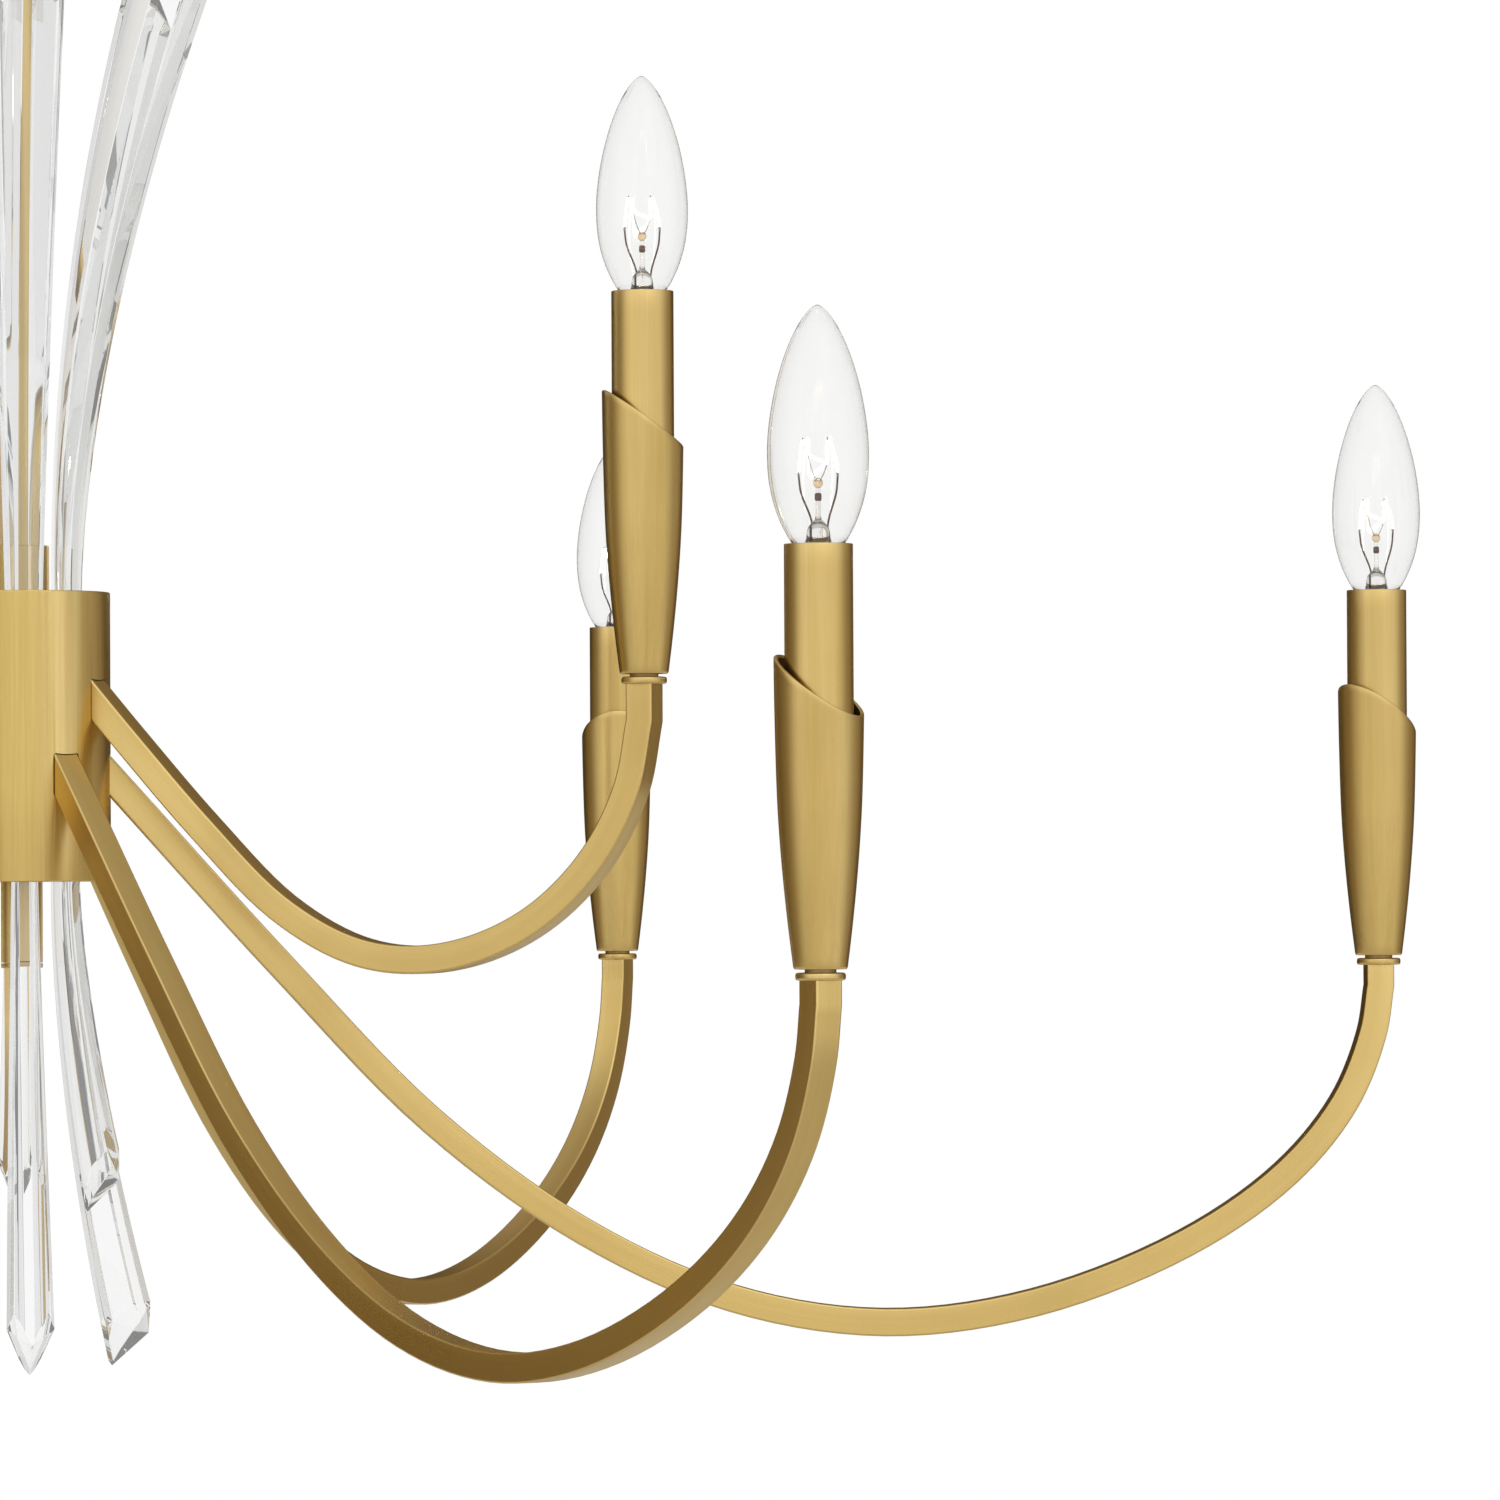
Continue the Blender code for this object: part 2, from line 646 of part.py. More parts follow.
# ---------------------------------------------------------------- assembly
def build():
    clear_scene()
    brass = material("satin_brass", (0.62, 0.47, 0.27), 0.34, 1.0)
    dark = material("lampholder", (0.85, 0.82, 0.74), 0.5, 0.0)
    glass = material("blade_glass", (0.97, 0.98, 0.98), 0.02, 0.0, 1.0)
    bulb_glass = material("bulb_glass", (1.0, 0.96, 0.88), 0.03, 0.0, 1.0)
    steel = material("strap_steel", (0.6, 0.6, 0.58), 0.4, 1.0)

    tiers = (
        ("lower", LOWER_AZIMUTHS, LOWER_REACH, LOWER_SLEEVE_TOP, LOWER_CURVE),
        ("upper", UPPER_AZIMUTHS, UPPER_REACH, UPPER_SLEEVE_TOP, UPPER_CURVE),
    )
    cup = cup_mesh()
    sleeve = sleeve_mesh()
    holder = holder_mesh()
    bulb = bulb_mesh()
    for tier, azimuths, reach, sleeve_top, curve in tiers:
        arm = arm_mesh("arm_" + tier, curve, reach, sleeve_top)
        for number, azimuth in enumerate(azimuths, 1):
            tag = "_%s_%d" % (tier, number)
            a = math.radians(azimuth)
            at = (reach * math.cos(a), reach * math.sin(a), HUB_BASE_Z + sleeve_top)
            place("arm" + tag, arm, brass, (0.0, 0.0, HUB_BASE_Z), azimuth)
            place("cup" + tag, cup, brass, at, azimuth + 180.0 + CUP_TURN)
            place("sleeve" + tag, sleeve, brass, at, azimuth)
            place("lampholder" + tag, holder, dark, at, azimuth)
            place("bulb" + tag, bulb, bulb_glass, at, azimuth)

    base = (0.0, 0.0, HUB_BASE_Z)
    down_blade = blade_mesh("blade_down", (310.0, 321.5, 316.0, 327.5, 333.0),
                            (-152.7, -164.0, -158.8, -170.3, -175.5))
    up_blade = blade_mesh("blade_up", (367.0, 378.5, 373.0, 384.5, 390.0),
                          (-96.0, -107.0, -102.0, -113.0, -118.5))
    for number, azimuth in enumerate(BLADE_DOWN, 1):
        place("blade_down_%d" % number, down_blade, glass, base, azimuth + BLADE_TURN)
    for number, azimuth in enumerate(BLADE_UP, 1):
        place("blade_up_%d" % number, up_blade, glass, base, azimuth + BLADE_TURN)

    place("hub_body", hub_body_mesh(), brass, base)
    place("hub_core", hub_core_mesh(), brass, base)
    place("stem", stem_mesh(), brass, base)
    place("stem_cap", stem_cap_mesh(), brass, base)

    link_top = CANOPY_LOOP_Z - LOOP_RADIUS + 2.0 * WIRE_RADIUS + CLEAR
    link_bottom = link_top - LINK_PITCH
    stem_loop_z = link_bottom + 2.0 * WIRE_RADIUS + CLEAR - LOOP_RADIUS
    stem_top_z = HUB_BASE_Z + STEM_TOP
    loop_foot = [
        (0.0, stem_top_z + CLEAR), (9.0, stem_top_z + CLEAR),
        (9.0, stem_loop_z - LOOP_RADIUS - 5.0), (6.0, stem_loop_z - LOOP_RADIUS - 1.0),
        (0.0, stem_loop_z - LOOP_RADIUS - 1.0),
    ]
    place("stem_loop", loop_mesh("stem_loop", stem_loop_z, loop_foot), brass)
    under = -CANOPY_DEPTH - CLEAR
    canopy_foot = [
        (0.0, CANOPY_LOOP_Z + LOOP_RADIUS + 1.0), (7.0, CANOPY_LOOP_Z + LOOP_RADIUS + 1.0),
        (11.0, under - 2.5), (11.0, under), (NIPPLE_RADIUS, under),
        (NIPPLE_RADIUS, -3.2), (0.0, -3.2),
    ]
    place("canopy_loop", loop_mesh("canopy_loop", CANOPY_LOOP_Z, canopy_foot), brass)
    place("link", link_mesh(link_top), brass)
    place("canopy", canopy_mesh(), brass)
    place("ceiling_strap", strap_mesh(), steel)


build()
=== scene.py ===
"""Looks of the two-tier candle chandelier: satin brass, clear blades, lit torpedo bulbs."""
import math

import bmesh
import bpy
from mathutils import Matrix, Vector


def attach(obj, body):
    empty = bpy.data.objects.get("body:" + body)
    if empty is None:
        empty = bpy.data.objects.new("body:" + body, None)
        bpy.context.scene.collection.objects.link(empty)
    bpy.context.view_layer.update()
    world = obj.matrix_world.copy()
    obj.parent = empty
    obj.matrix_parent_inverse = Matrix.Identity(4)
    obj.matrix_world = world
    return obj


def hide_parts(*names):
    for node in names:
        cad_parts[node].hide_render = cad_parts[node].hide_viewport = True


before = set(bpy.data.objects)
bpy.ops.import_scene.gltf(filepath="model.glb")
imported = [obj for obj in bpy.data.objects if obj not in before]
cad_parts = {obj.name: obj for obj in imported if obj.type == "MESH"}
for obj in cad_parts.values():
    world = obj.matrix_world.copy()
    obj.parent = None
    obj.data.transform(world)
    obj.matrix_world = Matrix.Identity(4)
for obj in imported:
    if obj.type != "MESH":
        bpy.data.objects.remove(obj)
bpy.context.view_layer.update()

MM = 0.001
ZB = -500.0                                  # underside of the hub
LOWER = (-60.0, 0.0, 60.0, 120.0, 180.0, 240.0)
UPPER = (-30.0, 150.0)
LOWER_REACH, UPPER_REACH = 493.5, 248.7
LOWER_TOP, UPPER_TOP = 104.2, 204.5          # sleeve tops over the hub base
HUB_R, HUB_H = 32.1, 104.1
CUP_DEPTH = 133.3
BLADE_TURN = 3.0                             # the blades stand this far round from the arms' axes
FLOOR_Z = -1.72
GLASS_PAINTED_LIGHT = 0.03                            # painted light: a faint glow of the blade glass that lifts facets which trap light, which else go near black
SURROUND_DARK = 0.76                         # what glass sees to the sides; 1.0 straight behind

scene = bpy.context.scene


# ------------------------------------------------------------------ camera
def make_camera():
    """Long lens in front of the fixture; the angles are in radians."""
    yaw, pitch, roll = 0.08992, 0.01613, -0.00492
    place = (-0.0170, -3.1105, -0.5038)
    fwd = Vector((math.sin(yaw) * math.cos(pitch), math.cos(yaw) * math.cos(pitch), math.sin(pitch)))
    right = Vector((math.cos(yaw), -math.sin(yaw), 0.0))
    up = right.cross(fwd)
    r2 = right * math.cos(roll) + up * math.sin(roll)
    u2 = up * math.cos(roll) - right * math.sin(roll)
    data = bpy.data.cameras.new("camera")
    data.sensor_width = 36.0
    data.lens = 206.63
    data.clip_start = 0.05
    data.clip_end = 60.0
    cam = bpy.data.objects.new("camera", data)
    scene.collection.objects.link(cam)
    m = Matrix.Identity(4)
    for i in range(3):
        m[i][0] = r2[i]
        m[i][1] = u2[i]
        m[i][2] = -fwd[i]
        m[i][3] = place[i]
    cam.matrix_world = m
    scene.camera = cam


# ------------------------------------------------------------------ node helpers
class Nodes:
    """Small helper that adds and links shader nodes."""

    def __init__(self, tree):
        self.tree = tree

    def add(self, kind, **values):
        node = self.tree.nodes.new(kind)
        for key, value in values.items():
            setattr(node, key, value)
        return node

    def link(self, out, inp):
        self.tree.links.new(out, inp)

    def put(self, socket, value):
        if hasattr(value, "is_output"):
            self.link(value, socket)
        else:
            socket.default_value = value

    def math(self, op, a, b):
        node = self.add("ShaderNodeMath", operation=op)
        self.put(node.inputs[0], a)
        self.put(node.inputs[1], b)
        return node.outputs[0]

    def ramp(self, value, low, high, to_low=0.0, to_high=1.0, smooth=True):
        node = self.add("ShaderNodeMapRange")
        node.interpolation_type = "SMOOTHSTEP" if smooth else "LINEAR"
        self.put(node.inputs["Value"], value)
        node.inputs["From Min"].default_value = low
        node.inputs["From Max"].default_value = high
        node.inputs["To Min"].default_value = to_low
        node.inputs["To Max"].default_value = to_high
        return node.outputs["Result"]

    def mix(self, factor, a, b):
        node = self.add("ShaderNodeMix", data_type="RGBA", blend_type="MIX")
        self.put(node.inputs[0], factor)
        self.put(node.inputs[6], a)
        self.put(node.inputs[7], b)
        return node.outputs[2]

    def noise(self, vector, scale, detail, rough):
        node = self.add("ShaderNodeTexNoise")
        self.link(vector, node.inputs["Vector"])
        node.inputs["Scale"].default_value = scale
        node.inputs["Detail"].default_value = detail
        node.inputs["Roughness"].default_value = rough
        return node.outputs["Fac"]

    def stretch(self, vector, scale):
        node = self.add("ShaderNodeVectorMath", operation="MULTIPLY")
        self.link(vector, node.inputs[0])
        node.inputs[1].default_value = scale
        return node.outputs[0]


def new_material(name):
    mat = bpy.data.materials.new(name)
    mat.use_nodes = True
    return mat, Nodes(mat.node_tree), mat.node_tree.nodes["Principled BSDF"]


def rgb(r, g, b):
    return (r, g, b, 1.0)


# ------------------------------------------------------------------ materials
def brass(name, along, light, dark, rough=(0.24, 0.36), streak=0.35, coarse=1.0):
    """Satin brass, brushed lengthwise. along is OBJECT (turned about Z) or UV (bent bar)."""
    mat, n, bsdf = new_material(name)
    coord = n.add("ShaderNodeTexCoord")
    if along == "UV":
        base = coord.outputs["UV"]
        fine = n.stretch(base, (14.0, 900.0, 1.0))
        broad = n.stretch(base, (3.0, 90.0, 1.0))
    else:
        base = coord.outputs["Object"]
        fine = n.stretch(base, (900.0, 900.0, 14.0))
        broad = n.stretch(base, (60.0, 60.0, 1.2))
    hair = n.noise(fine, 1.0, 4.0, 0.7)
    band = n.noise(broad, coarse, 2.0, 0.5)
    cloud = n.noise(coord.outputs["Object"], 9.0, 3.0, 0.55)
    speck = n.noise(coord.outputs["Object"], 700.0, 2.0, 0.5)
    geo = n.add("ShaderNodeNewGeometry")
    # painted highlight, partly real wear: convex edges are made lighter, both as rubbed brass and as a
    # painted edge highlight
    worn_edge_and_highlight = n.ramp(geo.outputs["Pointiness"], 0.515, 0.56)
    # painted shade, partly patina: concave creases are made darker, both as patina in the hollows and as
    # painted shade
    crease_shade_and_patina = n.ramp(geo.outputs["Pointiness"], 0.485, 0.44)
    tone = n.ramp(band, 0.32, 0.68)
    colour = n.mix(tone, rgb(*dark), rgb(*light))
    colour = n.mix(n.ramp(hair, 0.3, 0.7, 0.0, streak), colour, rgb(*[c * 0.72 for c in dark]))
    colour = n.mix(n.ramp(cloud, 0.42, 0.75, 0.0, 0.22), colour, rgb(0.36, 0.22, 0.07))
    colour = n.mix(n.ramp(speck, 0.68, 0.80, 0.0, 0.12), colour, rgb(0.25, 0.15, 0.05))
    # mixes in the lighter brass of rubbed edges and of the painted edge highlight
    colour = n.mix(n.math("MULTIPLY", worn_edge_and_highlight, 0.5), colour, rgb(0.86, 0.66, 0.30))
    # mixes in the darker brass of patina and of painted shade in the creases
    colour = n.mix(n.math("MULTIPLY", crease_shade_and_patina, 0.55), colour, rgb(0.20, 0.12, 0.04))
    n.link(colour, bsdf.inputs["Base Color"])
    bsdf.inputs["Metallic"].default_value = 1.0
    brushed = n.ramp(hair, 0.25, 0.75, rough[0], rough[1], False)
    gloss = n.math("ADD", brushed, n.ramp(cloud, 0.3, 0.8, -0.03, 0.07))
    n.link(gloss, bsdf.inputs["Roughness"])
    bump = n.add("ShaderNodeBump")
    bump.inputs["Strength"].default_value = 0.12
    bump.inputs["Distance"].default_value = 0.00006
    n.link(hair, bump.inputs["Height"])
    n.link(bump.outputs["Normal"], bsdf.inputs["Normal"])
    return mat


def clear_glass(name, colour, ior, rough, swirl, wall, painted_light=0.0):
    """Clear glass; wall is the depth of its faint waves, painted_light a faint glow painted onto the glass.
    """
    mat, n, bsdf = new_material(name)
    coord = n.add("ShaderNodeTexCoord")
    wave = n.noise(n.stretch(coord.outputs["Object"], (1.0, 1.0, 0.35)), swirl, 2.0, 0.45)
    dust = n.noise(coord.outputs["Object"], 320.0, 3.0, 0.6)
    bsdf.inputs["Transmission Weight"].default_value = 1.0
    bsdf.inputs["IOR"].default_value = ior
    tint = n.mix(n.ramp(wave, 0.35, 0.7, 0.0, 0.5), rgb(*colour), rgb(*[min(1.0, c * 1.01) for c in colour]))
    n.link(tint, bsdf.inputs["Base Color"])
    n.link(n.ramp(dust, 0.55, 0.8, rough, rough + 0.03), bsdf.inputs["Roughness"])
    bump = n.add("ShaderNodeBump")
    # painted light: the glass glows a little of its own, though it is no lamp
    if painted_light > 0.0:
        bsdf.inputs["Emission Color"].default_value = rgb(1.0, 1.0, 1.0)
        bsdf.inputs["Emission Strength"].default_value = painted_light
        mat.cycles.emission_sampling = "NONE"
    bump.inputs["Strength"].default_value = wall
    bump.inputs["Distance"].default_value = 0.0004
    n.link(wave, bump.inputs["Height"])
    n.link(bump.outputs["Normal"], bsdf.inputs["Normal"])
    return mat


def phenolic(name):
    mat, n, bsdf = new_material(name)
    coord = n.add("ShaderNodeTexCoord")
    grain = n.noise(coord.outputs["Object"], 900.0, 4.0, 0.6)
    cloud = n.noise(coord.outputs["Object"], 60.0, 2.0, 0.5)
    colour = n.mix(n.ramp(cloud, 0.3, 0.7), rgb(0.74, 0.70, 0.60), rgb(0.83, 0.80, 0.72))
    colour = n.mix(n.ramp(grain, 0.55, 0.8, 0.0, 0.4), colour, rgb(0.62, 0.57, 0.46))
    n.link(colour, bsdf.inputs["Base Color"])
    n.link(n.ramp(grain, 0.2, 0.8, 0.42, 0.6), bsdf.inputs["Roughness"])
    bump = n.add("ShaderNodeBump")
    bump.inputs["Strength"].default_value = 0.3
    bump.inputs["Distance"].default_value = 0.0001
    n.link(grain, bump.inputs["Height"])
    n.link(bump.outputs["Normal"], bsdf.inputs["Normal"])
    return mat


def zinc(name):
    mat, n, bsdf = new_material(name)
    coord = n.add("ShaderNodeTexCoord")
    spangle = n.add("ShaderNodeTexVoronoi")
    n.link(coord.outputs["Object"], spangle.inputs["Vector"])
    spangle.inputs["Scale"].default_value = 260.0
    drawn = n.noise(n.stretch(coord.outputs["Object"], (20.0, 900.0, 400.0)), 1.0, 4.0, 0.6)
    flake = n.ramp(spangle.outputs["Distance"], 0.1, 0.7)
    colour = n.mix(flake, rgb(0.66, 0.66, 0.64), rgb(0.52, 0.53, 0.53))
    n.link(colour, bsdf.inputs["Base Color"])
    bsdf.inputs["Metallic"].default_value = 1.0
    n.link(n.ramp(drawn, 0.25, 0.75, 0.30, 0.48), bsdf.inputs["Roughness"])
    bump = n.add("ShaderNodeBump")
    bump.inputs["Strength"].default_value = 0.2
    bump.inputs["Distance"].default_value = 0.00008
    n.link(drawn, bump.inputs["Height"])
    n.link(bump.outputs["Normal"], bsdf.inputs["Normal"])
    return mat


def wire_metal(name, colour, rough):
    mat, n, bsdf = new_material(name)
    coord = n.add("ShaderNodeTexCoord")
    oxide = n.noise(coord.outputs["Object"], 900.0, 3.0, 0.6)
    tone = n.mix(n.ramp(oxide, 0.4, 0.7), rgb(*colour), rgb(*[c * 0.6 for c in colour]))
    n.link(tone, bsdf.inputs["Base Color"])
    bsdf.inputs["Metallic"].default_value = 1.0
    n.link(n.ramp(oxide, 0.3, 0.8, rough, rough + 0.2), bsdf.inputs["Roughness"])
    return mat


def glowing(name, colour, strength):
    mat, n, bsdf = new_material(name)
    coord = n.add("ShaderNodeTexCoord")
    turns = n.noise(coord.outputs["Object"], 2500.0, 1.0, 0.5)
    n.link(n.mix(n.ramp(turns, 0.4, 0.6), rgb(1.0, 0.80, 0.50), rgb(*colour)), bsdf.inputs["Emission Color"])
    bsdf.inputs["Emission Strength"].default_value = strength
    bsdf.inputs["Base Color"].default_value = rgb(0.9, 0.8, 0.6)
    n.link(n.ramp(turns, 0.2, 0.8, 0.35, 0.6), bsdf.inputs["Roughness"])
    return mat


GOLD_LIGHT = (0.71, 0.52, 0.20)
GOLD_DARK = (0.60, 0.42, 0.14)
M = {
    "turned": brass("brass_turned", "OBJECT", GOLD_LIGHT, GOLD_DARK, (0.27, 0.35), 0.18),
    "hub": brass("brass_hub", "OBJECT", (0.73, 0.54, 0.205), (0.63, 0.45, 0.145), (0.26, 0.36), 0.35, 1.3),
    "bar": brass("brass_bar", "UV", (0.71, 0.52, 0.195), (0.61, 0.43, 0.145), (0.27, 0.32), 0.10),
    # painted shade: a darker, rougher copy of the brass for insides and hollows, standing in for their shade
    "inside": brass("brass_inside_painted_shade", "OBJECT", (0.20, 0.12, 0.045), (0.11, 0.06, 0.02), (0.45, 0.6), 0.3),
    "blade": clear_glass("blade_crystal", (0.87, 0.875, 0.87), 1.47, 0.0, 14.0, 0.01, GLASS_PAINTED_LIGHT),
    "bulb": clear_glass("bulb_clear_glass", (0.965, 0.965, 0.96), 1.45, 0.0, 55.0, 0.05),
    "amber": clear_glass("bead_amber_glass", (0.80, 0.60, 0.38), 1.5, 0.02, 300.0, 0.05),
    "holder": phenolic("lampholder_phenolic"),
    "zinc": zinc("strap_zinc"),
    "wire": wire_metal("lead_wire", (0.20, 0.13, 0.10), 0.35),
    "grey_wire": wire_metal("support_wire", (0.42, 0.41, 0.40), 0.3),
    "cap": wire_metal("screw_cap_metal", (0.72, 0.70, 0.66), 0.22),
    "solder": wire_metal("contact_solder", (0.55, 0.55, 0.55), 0.35),
    "black": phenolic("cap_insulator"),
    "hot": glowing("filament_glow", (1.0, 0.90, 0.68), 14.0),
}


# ------------------------------------------------------------------ mesh helpers
class Shape:
    """Gathers several closed shells with their own materials into one mesh, in mm."""

    def __init__(self):
        self.verts = []
        self.faces = []
        self.slots = []
        self.normals = {}
        self.uvs = {}

    def add(self, verts, faces, slot=0, normals=None, uvs=None):
        base = len(self.verts)
        self.verts.extend(verts)
        for k, f in enumerate(faces):
            if uvs is not None:
                self.uvs[len(self.faces)] = uvs[k]
            self.faces.append(tuple(base + i for i in f))
            self.slots.append(slot)
        if normals is not None:
            for i, v in normals.items():
                self.normals[base + i] = v

    def mesh(self, name, mats, sharp=35.0):
        mesh = bpy.data.meshes.new(name)
        mesh.from_pydata([(x * MM, y * MM, z * MM) for x, y, z in self.verts], [], self.faces)
        for m in mats:
            mesh.materials.append(M[m])
        mesh.polygons.foreach_set("material_index", self.slots)
        if self.uvs:
            layer = mesh.uv_layers.new(name="run")
            for poly in mesh.polygons:
                given = self.uvs.get(poly.index)
                if given is None:
                    continue
                for loop, uv in zip(poly.loop_indices, given):
                    layer.data[loop].uv = uv
        mesh.shade_smooth()
        mesh.set_sharp_from_angle(angle=math.radians(sharp))
        if self.normals:
            mesh.update()
            corner = [tuple(c.vector) for c in mesh.corner_normals]
            for loop in mesh.loops:
                if loop.vertex_index in self.normals:
                    corner[loop.index] = tuple(self.normals[loop.vertex_index])
            mesh.normals_split_custom_set(corner)
        return mesh


def lathe(shape, profile, segments, slot=0, close=False, centre=(0.0, 0.0)):
    """Turn (radius, z) points about Z. Going up, the outside is on their right."""
    verts = []
    rings = []
    for radius, z in profile:
        if radius < 1e-6:
            rings.append([len(verts)])
            verts.append((centre[0], centre[1], z))
            continue
        ring = []
        for i in range(segments):
            a = 2.0 * math.pi * i / segments
            ring.append(len(verts))
            verts.append((centre[0] + radius * math.cos(a), centre[1] + radius * math.sin(a), z))
        rings.append(ring)
    pairs = list(zip(rings, rings[1:]))
    if close:
        pairs.append((rings[-1], rings[0]))
    faces = []
    for lower, upper in pairs:
        for i in range(segments):
            j = (i + 1) % segments
            if len(lower) == 1 and len(upper) == 1:
                continue
            if len(lower) == 1:
                faces.append((lower[0], upper[j], upper[i]))
            elif len(upper) == 1:
                faces.append((lower[i], lower[j], upper[0]))
            else:
                faces.append((lower[i], lower[j], upper[j], upper[i]))
    shape.add(verts, faces, slot)


def tube(shape, path, radius, sides=10, slot=0, closed=False, flat=None):
    """A round bar along a list of points. Ends are closed."""
    pts = [Vector(p) for p in path]
    count = len(pts)
    verts = []
    ref = Vector((0.0, 0.0, 1.0)) if flat is None else Vector(flat)
    for i, p in enumerate(pts):
        if closed:
            t = pts[(i + 1) % count] - pts[i - 1]
        else:
            t = pts[min(i + 1, count - 1)] - pts[max(i - 1, 0)]
        t.normalize()
        if flat is None and abs(t.dot(ref)) > 0.95:
            side = t.cross(Vector((0.0, 1.0, 0.0)))
        else:
            side = t.cross(ref)
        side.normalize()
        up = side.cross(t)
        for k in range(sides):
            a = 2.0 * math.pi * k / sides
            verts.append(tuple(p + side * (radius * math.cos(a)) + up * (radius * math.sin(a))))
    faces = []
    spans = count if closed else count - 1
    for i in range(spans):
        a = i * sides
        b = ((i + 1) % count) * sides
        for k in range(sides):
            j = (k + 1) % sides
            faces.append((a + k, a + j, b + j, b + k))
    if not closed:
        faces.append(tuple(range(sides))[::-1])
        faces.append(tuple(range((count - 1) * sides, count * sides)))
    shape.add(verts, faces, slot)


def smooth_path(points, per_span):
    """Points along a centripetal Catmull-Rom curve through the given points."""
    pts = [Vector(p) for p in points]
    pts = [pts[0] * 2.0 - pts[1]] + pts + [pts[-1] * 2.0 - pts[-2]]
    out = [pts[1]]
    for k in range(1, len(pts) - 2):
        p0, p1, p2, p3 = pts[k - 1:k + 3]
        t1 = math.sqrt((p1 - p0).length)
        t2 = t1 + math.sqrt((p2 - p1).length)
        t3 = t2 + math.sqrt((p3 - p2).length)
        for step in range(1, per_span + 1):
            t = t1 + (t2 - t1) * step / per_span
            a1 = p0.lerp(p1, t / t1)
            a2 = p1.lerp(p2, (t - t1) / (t2 - t1))
            a3 = p2.lerp(p3, (t - t2) / (t3 - t2))
            b1 = a1.lerp(a2, t / t2)
            b2 = a2.lerp(a3, (t - t1) / (t3 - t1))
            out.append(b1.lerp(b2, (t - t1) / (t2 - t1)))
    return out


def round_corner(points, radius_steps):
    """Replaces the marked corners of a (radius, z) outline by small arcs. points: (r, z, fillet)."""
    out = []
    count = len(points)
    for i, (r, z, fillet) in enumerate(points):
        if fillet <= 0.0:
            out.append((r, z))
            continue
        here = Vector((r, z))
        before = Vector(points[i - 1][:2]) - here
        after = Vector(points[(i + 1) % count][:2]) - here
        cut = min(fillet, before.length * 0.49, after.length * 0.49)
        a = here + before.normalized() * cut
        b = here + after.normalized() * cut
        for s in range(radius_steps + 1):
            t = s / radius_steps
            p = a.lerp(here, t).lerp(here.lerp(b, t), t)
            out.append((p.x, p.y))
    return out


def put(name, mesh, body, node, location=(0.0, 0.0, 0.0), turn=0.0):
    obj = bpy.data.objects.new(name, mesh)
    scene.collection.objects.link(obj)
    obj.location = [c * MM for c in location]
    obj.rotation_euler = (0.0, 0.0, math.radians(turn))
    bpy.context.view_layer.update()
    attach(obj, body)
    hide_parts(node)


def cut(target, cutters):
    """Exact Boolean difference of one mesh object and several; returns the new mesh."""
    for cutter in cutters:
        mod = target.modifiers.new("cut", "BOOLEAN")
        mod.operation = "DIFFERENCE"
        mod.solver = "EXACT"
        mod.object = cutter
    bpy.context.view_layer.update()
    deps = bpy.context.evaluated_depsgraph_get()
    mesh = bpy.data.meshes.new_from_object(target.evaluated_get(deps), depsgraph=deps)
    target.modifiers.clear()
    for cutter in cutters:
        bpy.data.objects.remove(cutter, do_unlink=True)
    return mesh


def loose(mesh):
    obj = bpy.data.objects.new(mesh.name, mesh)
    scene.collection.objects.link(obj)
    return obj


# ------------------------------------------------------------------ arms
LOWER_CURVE = (
    (25.3, 45.2), (39.6, 29.2), (93.6, -31.0), (147.7, -87.3), (202.0, -127.3),
    (256.0, -152.0), (311.0, -161.2), (366.0, -154.6), (421.5, -133.5),
    (458.5, -108.5), (480.0, -83.0), (490.5, -58.0), (LOWER_REACH, -40.0),
)
UPPER_CURVE = (
    (25.3, 71.8), (45.4, 50.0), (75.5, 18.6), (106.3, -9.6), (135.0, -24.6),
    (160.0, -28.2), (186.0, -23.8), (210.0, -12.0), (230.5, 7.5), (243.5, 31.0),
    (UPPER_REACH, 55.0),
)


